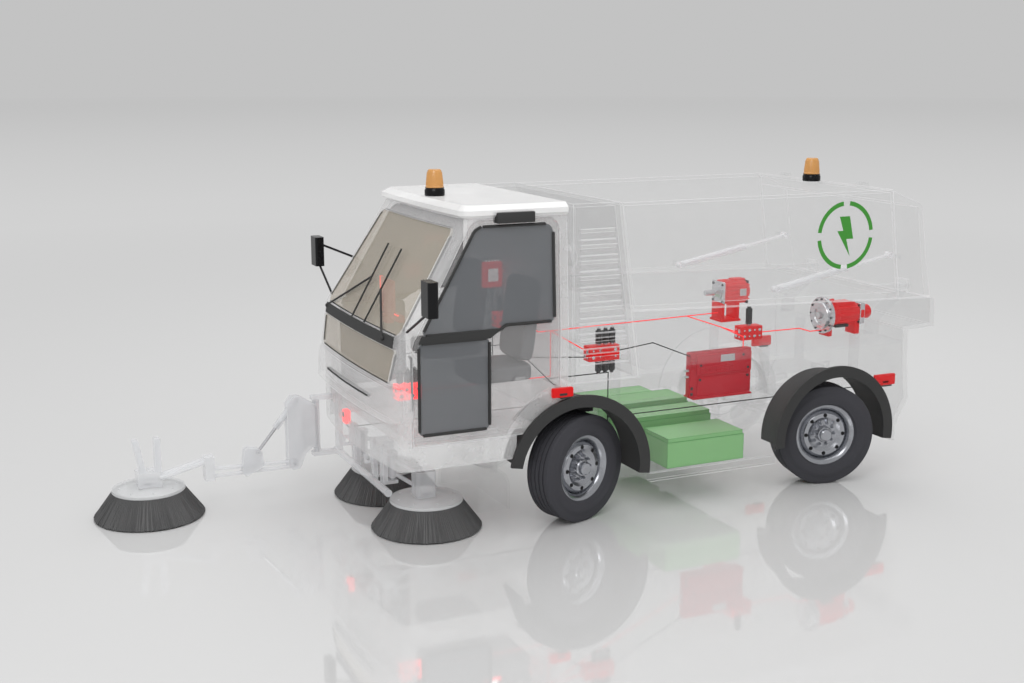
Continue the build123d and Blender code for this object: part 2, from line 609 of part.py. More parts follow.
def make_hopper(duct):
    """Tipping hopper with its floor rails and hinge eyes."""
    low_front, low_rear = belt_z(-370) + 5, belt_z(-2750) + 5
    front_x = tower_x(low_front) - BODY_GAP
    top_x = tower_x(HOPPER_TOP) - BODY_GAP
    outline = [(front_x, low_front), (top_x, HOPPER_TOP), (hopper_rear_x(HOPPER_TOP), HOPPER_TOP),
               (hopper_rear_x(low_rear), low_rear)]
    inner = [(front_x - SKIN, low_front + SKIN), (top_x - SKIN, HOPPER_TOP - SKIN),
             (HOPPER_REAR - 900, HOPPER_TOP - SKIN), (HOPPER_REAR - 900, low_rear + SKIN)]
    shell = side_prism(outline, (-BODY_HW, BODY_HW)) - side_prism(inner, (-BODY_HW + SKIN, BODY_HW - SKIN))
    arm = block((TIP_HINGE[0], -2700), (590, 640), (TIP_HINGE[1] - 25, TIP_HINGE[1] + 25))
    arm = arm + across(TIP_HINGE, (590, 640), 25)
    arm = arm - across(TIP_HINGE, (500, 700), TIP_PIN_R)
    inlet = bar((0, 0, DUCT_Z), (-600, 0, DUCT_Z), DUCT_R + 4)
    root_pin = across(GATE_CYL_ROOT, (GATE_CYL_Y[0] - 12, BODY_HW - SKIN + 1), CYL_PIN_R - FIT)
    root_pin = root_pin + across(GATE_CYL_ROOT, (GATE_CYL_Y[1] + 5, BODY_HW - SKIN + 1), 26)
    fixed_hinge, gate_hinge = gate_hinges()
    shell = shell + both(arm) + both(root_pin) + both(fixed_hinge)
    save("hopper_shell", shell - inlet)
    outer = [(hopper_rear_x(HOPPER_TOP) - DOOR_GAP, HOPPER_TOP - 12), (-2943, 2205), (-3010, 1762), (-3074, 1466),
             (hopper_rear_x(1466) - DOOR_GAP, 1466)]
    cut = [(-2500, HOPPER_TOP - 60), (-2925, 2180), (-2985, 1762), (-3049, 1440), (-2500, 1440)]
    gate = side_prism(outer, (-BODY_HW, BODY_HW), [0, 60, 60, 0, 0]) - side_prism(cut, (-BODY_HW + SKIN, BODY_HW - SKIN))
    for y in ((530, 670), (-670, -530)):
        gate = gate - block((-3200, -3000), y, (1400, 1570))
    eye_pin = across(GATE_CYL_EYE, (GATE_CYL_Y[1] + 5, BODY_HW - SKIN + 1), 20)
    save("hopper_gate", gate + both(gate_hinge) + both(eye_pin))
    make_gate_cylinders()


DUCT_R = 90.0
DUCT_Z = 1850.0
DUCT_LOW = 575.0
DUCT_X = -60.0
INTAKE_X = 530.0
NOZZLE_X = (400.0, 660.0)


def duct_solid(radius):
    """Suction duct route as a solid of one radius."""
    points = [(INTAKE_X, 0, 300), (INTAKE_X, 0, DUCT_LOW), (DUCT_X, 0, DUCT_LOW), (DUCT_X, 0, DUCT_Z), (-298, 0, DUCT_Z)]
    path = FilletPolyline(*points, radius=[150, 150, 150])
    return sweep(Plane(origin=points[0], z_dir=(0, 0, 1)) * Circle(radius), path)


def make_suction():
    """Suction nozzle behind the side brushes and its duct."""
    low, high = NOZZLE_X
    hood = side_prism([(low, 20), (high, 20), (high, 120), (high - 30, 300), (low + 30, 300), (low, 220)], (-400, 400),
                      [0, 0, 60, 20, 20, 30])
    hollow = side_prism([(low + 15, 10), (high - 15, 10), (high - 15, 110), (high - 45, 285), (low + 45, 285), (low + 15, 215)],
                        (-385, 385))
    duct = duct_solid(DUCT_R)
    bore = duct_solid(DUCT_R - 6)
    hanger = block((low + 100, low + 140), (345, 395), (290, RAIL_TOP - RAIL_H))
    nozzle = hood - hollow - upright((INTAKE_X, 0), (250, 320), DUCT_R - 6)
    nozzle = nozzle + hanger + mirrored(hanger)
    save("suction_nozzle", nozzle)
    duct = (duct - bore) & block((-2000, 2000), (-500, 500), (300, 3000))
    save("suction_duct", duct)


def brush(place):
    """Bristle cone with its carrier plate, spinning about (x, y)."""
    rows = [(BRISTLE_R, BRISTLE_Z), (BRISTLE_R, BRISTLE_Z + 12), (BRISTLE_TOP_R, BRISTLE_TOP), (BRISTLE_TOP_R, BRISTLE_TOP + PLATE_T * 0.5),
            (120, BRISTLE_TOP + PLATE_T), (30, BRISTLE_TOP + PLATE_T), (30, BRISTLE_TOP - 20), (BRISTLE_TOP_R - 60, BRISTLE_TOP - 30),
            (BRISTLE_R - 90, BRISTLE_Z)]
    return Pos(place[0], place[1], 0) * revolve(Plane.XZ * outline_face(rows), Axis.Z)


def make_brushes():
    """Front brush and the two side brushes with their arms."""
    save("front_brush", brush(FRONT_BRUSH))
    top = BRISTLE_TOP + PLATE_T + RUN_GAP
    for name, side in (("left", 1), ("right", -1)):
        place = (SIDE_BRUSH[0], side * SIDE_BRUSH[1])
        pivot = (SIDE_PIVOT[0], side * SIDE_PIVOT[1])
        save(f"side_brush_{name}", brush(place))
        motor = fillet(Box(150, 150, 190).edges().filter_by(Axis.Z), 30)
        motor = Pos(place[0] + 20, place[1], top + 95) * motor
        motor = motor + upright(place, (BRISTLE_TOP - 10, top + 5), 30 - FIT)
        links = bar((*pivot, 500), (place[0] + 60, place[1], 400), 16) + bar((*pivot, 400), (place[0] + 60, place[1], 300), 16)
        hub = upright(pivot, (370, 530), 34)
        arm = motor + links + hub - upright(pivot, (300, 600), 16)
        save(f"side_brush_arm_{name}", arm)


def tow_lug(x, y, z, root_z):
    """Upright plate with a cross bore and a foot up to its mounting face."""
    plate = block(x, (y - TOW_T / 2, y + TOW_T / 2), z)
    plate = plate + block((x[0], x[0] + 25), (y - 30, y + 30), (z[0], root_z))
    return plate - across((x[1] - 35, (z[0] + z[1]) / 2), (y - 50, y + 50), TOW_BORE_R)


def make_front_frame():
    """Fixed frame under the nose: lower tube, side brush brackets and front arm bracket."""
    bottom = RAIL_TOP - RAIL_H
    frame = across((1429, 342), (-611, 611), 27)
    for y in (-200, 200):
        frame = frame + block((1375, 1405), (y - 30, y + 30), (330, bottom))
        frame = frame + block((1375, 1429), (y - 30, y + 30), (330, 354))
    for side in (1, -1):
        x, y = SIDE_PIVOT[0], side * SIDE_PIVOT[1]
        web = block((RAIL_FRONT + 5, RAIL_FRONT + 35), (y - 40, y + 40), (328, bottom))
        web = web + block((x - 30, RAIL_FRONT + 35), (y - 40, y + 40), (535, 560))
        web = web + block((x - 30, RAIL_FRONT + 35), (y - 40, y + 40), (328, 350))
        frame = frame + web + upright((x, y), (330, 550), 16 - FIT)
    x, y = TURRET
    front = RAIL_FRONT + CROSS_D
    post = block((front, front + 30), (y - 50, y + 50), (320, 860))
    post = post + block((front, x + 36), (y - 36, y + 36), (770, 800))
    post = post + block((front, x + 36), (y - 36, y + 36), (330, 360))
    frame = frame + post + upright(TURRET, (340, 790), 14 - FIT) + block((1410, 1425), (-611, y), (320, 350))
    for side in (1, -1):
        frame = frame + tow_lug((front, front + 80), side * TOW_Y, (470, 545), bottom + 40)
    save("front_frame", frame)


def make_front_arm():
    """Turret, boom and lift cylinder of the front brush."""
    x, y = TURRET
    turret = upright(TURRET, (366, 764), 28) - upright(TURRET, (300, 800), 14)
    plate = [(x + 20, 740), (1735, 815), (1790, 815), (1835, 760), (1835, 262), (1800, 245), (1745, 250), (1700, 360), (x + 20, 420)]
    for offset in (-44, 36):
        turret = turret + side_prism(plate, (y + offset, y + offset + 8))
    for z in (420, 740):
        web = block((x, x + 60), (y - 44, y + 44), (z - 12, z))
        turret = turret + web
    turret = turret - upright(TURRET, (300, 800), 14)
    turret = turret + block((1700, 1712), (y - 40, y + 40), (380, 700))
    turret = turret + across(BOOM_ROOT, (y - 44, y + 44), 14 - FIT) + across(LIFT_TOP, (y - 44, y + 44), 12 - FIT)
    save("arm_turret", turret)
    boom = across(BOOM_ROOT, (y - 32, y + 32), 26)
    boom = boom + bar((BOOM_ROOT[0], y, 300), (2440, y, 320), 15) + bar((BOOM_ROOT[0], y, 262), (2440, y, 262), 15)
    for side in (-1, 1):
        lug = side_prism([(2020, 300), (2160, 235), (2190, 260), (2170, 440), (2140, 455), (2060, 436), (2034, 410)], (y + side * 26 - 6, y + side * 26 + 6), 6)
        boom = boom + lug
    boom = boom + across((2120, 282), (y - 32, y + 32), 18) + across(LIFT_EYE, (y + 20, y + 38), 14) + across(LIFT_EYE, (y - 38, y - 20), 14)
    boom = boom + block((2400, 2470), (y - 50, y + 50), (240, 420))
    head = (FRONT_BRUSH[0], FRONT_BRUSH[1])
    for offset in (-30, 30):
        boom = boom + bar((2440, y + offset, 395), (2800, y + offset - 20, 300), 20)
    top = BRISTLE_TOP + PLATE_T + RUN_GAP
    motor = block((head[0] - 85, head[0] + 85), (head[1] - 60, y + 20), (top, top + 110))
    motor = motor + upright(head, (BRISTLE_TOP - 10, top + 5), 30 - FIT)
    for x0, lean in ((2780, 0), (2880, 60)):
        motor = motor + side_prism([(x0, 300), (x0 + 45, 300), (x0 + 45 + lean, 600), (x0 + lean, 600)], (y - 60, y - 48), 10)
        motor = motor + side_prism([(x0, 300), (x0 + 45, 300), (x0 + 45 + lean, 600), (x0 + lean, 600)], (y - 8, y + 4), 10)
    boom = boom + motor - across(BOOM_ROOT, (y - 60, y + 60), 14)
    save("arm_boom", boom)
    a, b = Vector(LIFT_TOP[0], y, LIFT_TOP[1]), Vector(LIFT_EYE[0], y, LIFT_EYE[1])
    way = (b - a).normalized()
    def along(distance):
        return a + way * distance
    length = (b - a).length
    barrel = bar(along(0), along(260), 26) + across(LIFT_TOP, (y - 28, y + 28), 22) - across(LIFT_TOP, (y - 40, y + 40), 12)
    barrel = barrel - bar(along(60), along(300), 13)
    save("lift_cylinder_barrel", barrel)
    piston = bar(along(200), along(length - 12), 13 - FIT) + across(LIFT_EYE, (y - 13, y + 13), 20)
    piston = piston - across(LIFT_EYE, (y - 20, y + 20), 10)
    save("lift_cylinder_rod", piston)


def make_bumper(routes):
    """Bumper bar, lower valance and steps around the nose."""
    faces = []
    # columns: height, nose x, corner x, side y
    rows = ((911, 1545, 1505, BUMPER_HW), (1081, 1535, 1495, BUMPER_HW), (1141, 1512, 1478, BUMPER_HW - 4))
    for z, nose, corner, side_y in rows:
        faces.append(Pos(0, 0, z) * plan_face(1340, 1400, side_y, corner, BUMPER_HW - 72, nose))
    bar_solid = loft(faces, ruled=True)
    bar_solid = bar_solid - Pos(0, 0, 900) * extrude(
        plan_face(1200, 1385, BUMPER_HW - 37, 1445, BUMPER_HW - 102, 1485), 300)
    bar_solid = bar_solid - block((1500, 1600), (-477, 477), (1018, 1036))
    def ring(rear_x, z, front_x=1440.0):
        side_y = BUMPER_HW - 4
        outer = extrude(plan_face(rear_x, 1380, side_y, front_x, side_y - 68, 1500), z[1] - z[0])
        inner = plan_face(rear_x - 50, 1365, side_y - SKIN, front_x - SKIN, side_y - 83, 1500 - SKIN)
        inner = extrude(inner, z[1] - z[0])
        return Pos(0, 0, z[0]) * (outer - inner)
    bar_solid = bar_solid + ring(1340, (724, 912)) + ring(560, (560, 725))
    for y in (-420, 420):
        bar_solid = bar_solid + (block((1405, 1480), (y - 25, y + 25), (640, 700)))
    bar_solid = bar_solid - block((1400, 1520), (-606, -514), (740, 870))
    bar_solid = bar_solid - wheel_drum(ARCH_R, 0)
    save("front_bumper", bar_solid - cab_form(-RUN_GAP) - routes)


def make_drive():
    """Battery packs, motors, inverter, valve blocks, sensors and terminals."""
    packs = []
    # columns: rear x, front x, right y, left y, top z
    for rear, front, right, left, top in ((-1400, -720, 430, 800, 525), (-1400, -640, 40, 330, 575),
                                          (-1400, -560, -330, -10, 598), (-1400, -720, -800, -430, 525)):
        case = block((rear, front), (right, left), (TRAY_TOP, top - 30)) + block((rear + 8, front - 8), (right + 8, left - 8), (top - 30, top))
        packs.append(case)
    save("battery_packs", *packs)
    y, z = -450.0, 1370.0
    fan = bar((-1960, y, z), (-2240, y, z), 112) + bar((-1925, y, z), (-1960, y, z), 95)
    fan = fan + bar((-1800, y, z), (-1925, y, z), 24)
    cradle = block((-2200, -2000), (y - 90, y + 90), (DECK_TOP, DECK_TOP + 20)) + block((-2190, -2160), (y - 80, y + 80), (DECK_TOP, z)) + block((-2040, -2010), (y - 80, y + 80), (DECK_TOP, z))
    save("fan_motor", fan + cradle)
    y, z = 450.0, 1290.0
    pump = bar((-2390, y, z), (-2420, y, z), 150) + bar((-2370, y, z), (-2390, y, z), 110) + bar((-2420, y, z), (-2700, y, z), 105)
    pump = pump + block((-2760, -2700), (y - 90, y + 90), (z - 100, z + 100)) + bar((-2760, y, z), (-2820, y, z), 60)
    pump = pump + block((-2425, -2385), (y - 60, y + 60), (DECK_TOP, z)) + block((-2700, -2650), (y - 60, y + 60), (DECK_TOP, z))
    save("hydraulic_pump", pump)
    slab = side_prism([(-1655, 735), (-1090, 735), (-1090, 1095), (-1655, 1095)], (430, 520), 12)
    slab = slab + block((-1640, -1100), (400, 540), (RAIL_TOP, 736))
    save("inverter", slab)
    blocks = []
    # columns: rear x, front x, right y, left y, low z, high z
    blocks.append(block((193, 400), (70, 170), (1360, 1470)))
    blocks[0] = blocks[0] + [upright((x, 120), (1470, 1600), 22) for x in (225, 290, 355)]
    b = block((1165, 1345), (500, 600), (995, 1100)) + block((1220, 1300), (530, 570), (RAIL_TOP + CAB_WALL, 1000)) + [upright((x, 550), (1100, 1215), 24) for x in (1200, 1255, 1310)]
    blocks.append(b)
    y0 = TOWER_HW - SKIN
    c = block((-300, -50), (700, 790), (1180, 1290)) + [upright((x, 745), (1075, 1420), 24) for x in (-260, -205, -150)]
    c = c + block((-200, -150), (780, y0), (1200, 1270))
    blocks.append(c)
    d = block((-1850, -1650), (260, 360), (DECK_TOP, 1230)) + upright((-1750, 310), (1230, 1390), 26)
    blocks.append(d)
    save("valve_blocks", *blocks)
    sensors = [block((130, 295), (CAB_HW, CAB_HW + 41), (972, 1042)),
               block((-2800, -2600), (SENSOR_IN, BODY_HW - SKIN), (760, 850)),
               block((1405, 1450), (-370, -290), (620, 725))]
    save("corner_sensors", sensors[0], sensors[1], mirrored(sensors[0]), mirrored(sensors[1]), sensors[2])
    red_box = block((193, 350), (-240, -180), (1600, 1800))
    stalk = block((1170, 1230), (-60, 60), (DASH_TOP, 1500)) + block((1185, 1205), (-140, 140), (1500, 1760))
    save("operator_terminals", red_box, stalk)
    return [slab, *blocks, sensors[0], sensors[1], sensors[2]]


# Pressure lines: corner points of each run; the first three start at the joint behind the cab
HOSE_R = 4.0
HOSE_ROOM = 2.0
JOINT = (143.0, 550.0, 1385.0)
FAN_FOOT = (-1985.0, -450.0, 1190.0)
BRANCH = (-1500.0, -222.1, 1234.4)
INVERTER_BRANCH = (-1600.0, 132.6, 1198.1)
HOSES = [
    [(240, 170, 1410), (240, 550, 1385), JOINT, (-50, 745, 1255)],
    [JOINT, (143, 550, 1045), (1165, 550, 1045)],
    [JOINT, FAN_FOOT, (-1985, -450, 1258)],
    [BRANCH, (-1650, 310, 1180)],
    [INVERTER_BRANCH, (-1590, 475, 1180), (-1590, 475, 1095)],
    [(-1850, 310, 1165), (-2250, 310, 1165), (-2250, 450, 1165), (-2385, 450, 1165)],
]
CABLES = [
    [(270, -210, 1600), (270, -210, 1045), (-50, 720, 1205)],
    [(-300, 745, 1235), (-750, 500, 1210), (-1090, 490, 1070)],
    [(1427, -330, 620), (1427, -330, 600), (1427, -285, 600), (-400, -285, 600), (-400, 440, 600), (-400, 440, 1000),
     (143, 440, 1000), (143, CAB_HW, 1000)],
    [(-400, 440, 650), (-2740, 440, 650), (-2740, SENSOR_IN, 800)],
]


def make_runs(runs, radius):
    """Round lines through their corner points, with a ball at every corner."""
    lines = []
    for points in runs:
        for start, end in zip(points, points[1:]):
            lines.append(bar(start, end, radius))
        lines += [Pos(*corner) * Sphere(radius) for corner in points[1:-1]]
    return lines[0] + lines[1:]


# Wipers: foot and tip of each blade, and the two ends of each arm
WIPERS = [
    [(1442, -43, 1483), (1122, -124, 1990), (1431, -740, 1461), (1266, -88, 1760)],
    [(1439, 222, 1486), (1126, 165, 1983), (1450, 598, 1449), (1300, 196, 1706)],
]
WIPER_OUT = (16.0, 0.0, 10.0)
COWL_Z = (1408.0, 1484.0)
COWL_T = 6.0
COWL_HW = CAB_HW - 104.0


def make_wipers():
    """Cowl band under the windscreen with two wiper blades and their arms."""
    band = cab_form(-COWL_T) - cab_form(0)
    solid = band & block((1200, 1700), (-COWL_HW, COWL_HW), COWL_Z)
    for low, high, pivot, grip in WIPERS:
        low, high, grip = [Vector(*point) + Vector(*WIPER_OUT) for point in (low, high, grip)]
        foot = Vector(*pivot) + Vector(4, 0, 2)
        solid = solid + bar(low, high, 7) + bar(foot, grip, 8) + Pos(*pivot) * Sphere(16)
        solid = solid + Pos(*grip) * Sphere(9)
    save("cowl_wipers", solid - cab_form(0))


routes = make_runs(HOSES + CABLES, HOSE_R + HOSE_ROOM)
duct = duct_solid(DUCT_R + 4)
make_cab(routes)
make_roof()
save("cab_beacon", beacon((830, 28), ROOF_BASE + ROOF_RISE))
make_mirrors()
make_inside()
make_frame(routes)
make_wheels()
make_arches()
make_tower(routes, duct)
make_lower_body(routes)
make_hopper(duct)
save("hopper_beacon", beacon((-2560, -30), HOPPER_TOP))
make_suction()
make_brushes()
make_front_frame()
make_front_arm()
make_bumper(routes)
make_wipers()
connected = make_drive()
save("hydraulic_lines", make_runs(HOSES, HOSE_R) - connected)
save("cable_harness", make_runs(CABLES, HOSE_R) - connected)
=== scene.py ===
"""Dressed scene of a compact road sweeper whose body is shown see-through.

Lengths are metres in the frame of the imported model: +X forward, +Y left, +Z up, ground at zero.
Every piece rides on a body of the model, and most take their place from its nodes and joints.
"""

import json
import logging
import math
import random
from dataclasses import dataclass
from enum import Enum
from typing import Callable, Iterable, Optional, Sequence, Union

import bmesh
import bpy
from mathutils import Matrix, Vector


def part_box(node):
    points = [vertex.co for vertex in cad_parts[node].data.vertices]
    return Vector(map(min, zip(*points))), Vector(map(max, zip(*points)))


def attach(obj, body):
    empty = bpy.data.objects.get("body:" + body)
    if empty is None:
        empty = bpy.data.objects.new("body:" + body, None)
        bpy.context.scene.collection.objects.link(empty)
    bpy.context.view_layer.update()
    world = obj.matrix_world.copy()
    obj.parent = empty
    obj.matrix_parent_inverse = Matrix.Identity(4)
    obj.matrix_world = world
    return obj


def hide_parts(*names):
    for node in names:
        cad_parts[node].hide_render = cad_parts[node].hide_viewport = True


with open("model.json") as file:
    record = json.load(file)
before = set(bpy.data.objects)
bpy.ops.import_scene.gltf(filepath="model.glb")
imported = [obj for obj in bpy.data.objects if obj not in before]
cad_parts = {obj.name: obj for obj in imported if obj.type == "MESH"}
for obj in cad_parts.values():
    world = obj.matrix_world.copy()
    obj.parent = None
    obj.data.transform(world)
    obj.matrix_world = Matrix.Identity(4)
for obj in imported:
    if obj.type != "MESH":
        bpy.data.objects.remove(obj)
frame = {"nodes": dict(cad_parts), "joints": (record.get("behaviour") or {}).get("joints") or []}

LOG = logging.getLogger("sweeper")
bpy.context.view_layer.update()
FULL_TURN = 2 * math.pi
UP = Vector((0, 0, 1))

Point = Sequence[float]
Colour = tuple[float, float, float]


class Side(Enum):
    """Left or right of the machine, as the sign of Y."""

    LEFT = 1
    RIGHT = -1

    @property
    def word(self) -> str:
        """The word used in the names of nodes."""
        return self.name.lower()


class End(Enum):
    """Front or rear axle."""

    FRONT = "front"
    REAR = "rear"


def joint(name: str) -> dict:
    """The record's entry for one joint.

    Args:
        name: the joint's name.

    Returns:
        its dictionary, with pos_m and axis.
    """
    return next(entry for entry in frame["joints"] if entry["name"] == name)


def middle(node: str) -> Vector:
    """Centre of a node's box."""
    low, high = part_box(node)
    return (low + high) / 2


class Signal:
    """A shader socket that takes part in Python arithmetic."""

    def __init__(self, graph: "Graph", socket: bpy.types.NodeSocket) -> None:
        """Keep the graph and the socket."""
        self.graph, self.socket = graph, socket

    def math(self, operation: str, first: "Term", second: "Term" = 0.0) -> "Signal":
        """A Math node on two terms.

        Args:
            operation: the Math node's operation.
            first: left term.
            second: right term.

        Returns:
            the result.
        """
        return self.graph.node("ShaderNodeMath", {"operation": operation}, {0: first, 1: second})

    def __add__(self, other: "Term") -> "Signal":
        """Sum."""
        return self.math("ADD", self, other)

    def __sub__(self, other: "Term") -> "Signal":
        """Difference."""
        return self.math("SUBTRACT", self, other)

    def __rsub__(self, other: "Term") -> "Signal":
        """Reflected difference."""
        return self.math("SUBTRACT", other, self)

    def __mul__(self, other: "Term") -> "Signal":
        """Product."""
        return self.math("MULTIPLY", self, other)

    def above(self, level: float) -> "Signal":
        """One where the value is greater than a level, else nought."""
        return self.math("GREATER_THAN", self, level)

    __radd__ = __add__
    __rmul__ = __mul__


Term = Union[Signal, float]


class Graph:
    """A material's node tree with one Principled shader."""

    def __init__(self, name: str) -> None:
        """Make an empty material with its shader and output.

        Args:
            name: the material's name.
        """
        self.material = bpy.data.materials.new(name)
        self.material.use_nodes = True
        self.tree = self.material.node_tree
        self.tree.nodes.clear()
        self.shader = self.tree.nodes.new("ShaderNodeBsdfPrincipled")
        self.output = self.tree.nodes.new("ShaderNodeOutputMaterial")
        self.tree.links.new(self.shader.outputs[0], self.output.inputs["Surface"])

    def node(
        self,
        kind: str,
        settings: Optional[dict] = None,
        inputs: Optional[dict] = None,
        output: Union[int, str] = 0,
    ) -> Signal:
        """Add one node.

        Args:
            kind: the node's type.
            settings: attributes, set first.
            inputs: values or signals by socket name or number.
            output: which output to hand back.

        Returns:
            that output.
        """
        made = self.tree.nodes.new(kind)
        for key, value in (settings or {}).items():
            setattr(made, key, value)
        for key, value in (inputs or {}).items():
            self.feed(made.inputs[key], value)
        return Signal(self, made.outputs[output])

    def feed(self, socket: bpy.types.NodeSocket, value: object) -> None:
        """Link a signal to a socket, or set a plain value on it."""
        if isinstance(value, Signal):
            self.tree.links.new(value.socket, socket)
        else:
            socket.default_value = value

    def surface(self, **values: object) -> None:
        """Feed the Principled shader; underscores stand for spaces in its socket names."""
        for key, value in values.items():
            self.feed(self.shader.inputs[key.replace("_", " ")], value)

    def place(self) -> Signal:
        """Object coordinates."""
        return self.node("ShaderNodeTexCoord", output="Object")

    def noise(self, scale: float, detail: float = 3.0, stretch: Optional[Point] = None) -> Signal:
        """Noise on object coordinates, from nought to one.

        Args:
            scale: how many features to the metre.
            detail: octaves.
            stretch: scale along each axis.

        Returns:
            the noise value.
        """
        spot = self.place()
        if stretch is not None:
            spot = self.node("ShaderNodeMapping", inputs={"Vector": spot, "Scale": tuple(stretch)})
        return self.node("ShaderNodeTexNoise", inputs={"Vector": spot, "Scale": scale, "Detail": detail})

    def blend(self, factor: Term, first: object, second: object) -> Signal:
        """Mix two colours.

        Args:
            factor: nought gives the first colour and one the second.
            first: a colour or a signal.
            second: a colour or a signal.

        Returns:
            the mixed colour.
        """
        made = self.tree.nodes.new("ShaderNodeMix")
        made.data_type = "RGBA"
        sockets = [made.inputs[0], made.inputs[6], made.inputs[7]]
        for socket, value in zip(sockets, (factor, first, second)):
            self.feed(socket, value if isinstance(value, (Signal, float)) else (*value, 1.0))
        return Signal(self, made.outputs[2])

    def bump(self, height: Signal, strength: float, distance: float = 0.001) -> Signal:
        """Normal from a height.

        Args:
            height: the relief.
            strength: how much of it shows.
            distance: depth in metres.

        Returns:
            the bumped normal.
        """
        return self.node(
            "ShaderNodeBump", inputs={"Height": height, "Strength": strength, "Distance": distance},
        )


@dataclass(frozen=True)
class Finish:
    """A finish: colour with slight variation, gloss and fine relief."""

    name: str
    slot: str
    colour: Colour
    roughness: float = 0.4
    metallic: float = 0.0
    alpha: float = 1.0
    grain: float = 300.0
    relief: float = 0.1
    variation: float = 0.08
    coat: float = 0.0
    specular: float = 0.5

    def material(self) -> bpy.types.Material:
        """The finish as a material, made once."""
        found = bpy.data.materials.get(self.name)
        if found is not None:
            return found
        graph = Graph(self.name)
        graph.surface(Metallic=self.metallic, Coat_Weight=self.coat, Specular_IOR_Level=self.specular)
        self.dress(graph)
        return graph.material

    def shade(self, factor: float) -> Colour:
        """The finish's colour made darker or lighter."""
        return tuple(min(1.0, part * factor) for part in self.colour)

    def dress(self, graph: Graph) -> None:
        """Wire colour, roughness, alpha and relief.

        Args:
            graph: the material's graph.
        """
        cloud = graph.noise(6.0, 4.0)
        fine = graph.noise(self.grain, 2.0)
        low, high = self.shade(1 - self.variation), self.shade(1 + self.variation)
        graph.surface(
            Base_Color=graph.blend(cloud, low, high),
            Roughness=fine * 0.12 + (self.roughness - 0.06),
            Normal=graph.bump(fine, self.relief),
        )
        if self.alpha < 1.0:
            graph.surface(Alpha=cloud * 0.04 + (self.alpha - 0.02))


@dataclass(frozen=True)
class Rubber(Finish):
    """Tyre rubber with fine pores and a dusty bloom."""

    def dress(self, graph: Graph) -> None:
        """Wire the rubber.

        Args:
            graph: the material's graph.
        """
        pores, bloom = graph.noise(420.0, 4.0), graph.noise(9.0, 5.0)
        graph.surface(
            Base_Color=graph.blend(bloom, self.shade(0.8), self.shade(1.5)),
            Roughness=bloom * 0.2 + (self.roughness - 0.1),
            Normal=graph.bump(pores, 0.25),
        )


@dataclass(frozen=True)
class CastRed(Finish):
    """Red lacquer over a sand-cast skin, with a painted glow (an emission, though the part is no lamp) that
    carries it through the clear panels.
    """

    glow: float = 0.0

    def dress(self, graph: Graph) -> None:
        """Wire the lacquered casting.

        Args:
            graph: the material's graph.
        """
        cast = graph.noise(520.0, 5.0)
        cloud = graph.noise(14.0, 3.0)
        graph.surface(
            Base_Color=graph.blend(cloud, self.shade(0.86), self.shade(1.12)),
            Roughness=cast * 0.18 + (self.roughness - 0.09),
            Normal=graph.bump(cast, 0.2, 0.0006),
            # Emission in the lacquer's own colour: painted glow.
            Emission_Color=(*self.colour, 1.0),
            Emission_Strength=self.glow,
        )


@dataclass(frozen=True)
class BristleFibre(Finish):
    """Stiff brush fibres, streaked along their length."""

    def dress(self, graph: Graph) -> None:
        """Wire the fibres.

        Args:
            graph: the material's graph.
        """
        streak = graph.noise(60.0, 4.0, (6.0, 6.0, 0.4))
        graph.surface(
            Base_Color=graph.blend(streak, self.shade(0.6), self.shade(1.7)),
            Roughness=streak * 0.2 + (self.roughness - 0.1),
            Normal=graph.bump(streak, 0.3),
        )


@dataclass(frozen=True)
class Brushed(Finish):
    """Turned or brushed metal with fine rings."""

    def dress(self, graph: Graph) -> None:
        """Wire the metal.

        Args:
            graph: the material's graph.
        """
        lines = graph.noise(240.0, 2.0, (1.0, 0.15, 1.0))
        cloud = graph.noise(20.0, 3.0)
        graph.surface(
            Base_Color=graph.blend(cloud, self.shade(0.9), self.shade(1.06)),
            Roughness=lines * 0.16 + (self.roughness - 0.08),
            Normal=graph.bump(lines, 0.06),
        )


# The see-through panels below are one white paint, and their different greys are painted light and shade:
# near-white painted light on the roof, light grey on the cab and door, mid grey on the hopper and gate, and
# dark grey painted shade on the lower body and cooling tower.
GHOST = Finish(
    "see_through_panel", "body_panel", (0.26, 0.265, 0.27), 0.30, alpha=0.062, relief=0.01, variation=0.02,
)
GHOST_HOPPER = Finish(
    "see_through_hopper", "body_panel", (0.55, 0.555, 0.56), 0.30, alpha=0.055, relief=0.01, variation=0.02,
)
GHOST_CAB = Finish(
    "see_through_cab", "body_panel", (0.82, 0.82, 0.82), 0.26, alpha=0.30, relief=0.01, variation=0.02,
)
GHOST_DOOR = Finish(
    "see_through_door", "body_panel", (0.70, 0.70, 0.70), 0.24, alpha=0.16, relief=0.01, variation=0.02,
)
GHOST_ROOF = Finish(
    "see_through_roof", "body_panel", (0.97, 0.97, 0.97), 0.25, alpha=0.62, relief=0.01, variation=0.01,
    coat=0.3,
)
# Near-white bars along sharp edges: painted highlights.
EDGE_HIGHLIGHT = Finish(
    "panel_edge", "body_panel", (0.92, 0.92, 0.93), 0.30, alpha=0.42, relief=0.01, variation=0.01,
)
GHOST_STEEL = Finish(
    "see_through_steel", "frame_steel", (0.62, 0.63, 0.65), 0.28, alpha=0.07, relief=0.02, variation=0.04,
)
GHOST_ARM = Finish(
    "see_through_arm", "frame_steel", (0.80, 0.81, 0.83), 0.22, alpha=0.40, relief=0.02, variation=0.04,
    coat=0.4,
)
CARRIER = Finish(
    "brush_carrier", "frame_steel", (0.84, 0.85, 0.86), 0.24, alpha=0.62, relief=0.02, variation=0.03,
    coat=0.3,
)
SCREEN = Finish(
    "screen_glass", "windscreen", (0.54, 0.49, 0.405), 0.12, alpha=0.42, relief=0.0, variation=0.03,
    specular=0.2,
)
DOOR_GLASS = Finish(
    "door_glass", "door_glass", (0.088, 0.056, 0.022), 0.14, alpha=0.53, relief=0.0, variation=0.03,
    specular=0.05,
)
BLACK = Finish(
    "black_trim", "black_trim", (0.009, 0.009, 0.010), 0.36, grain=500.0, relief=0.12, variation=0.2,
    specular=0.16,
)
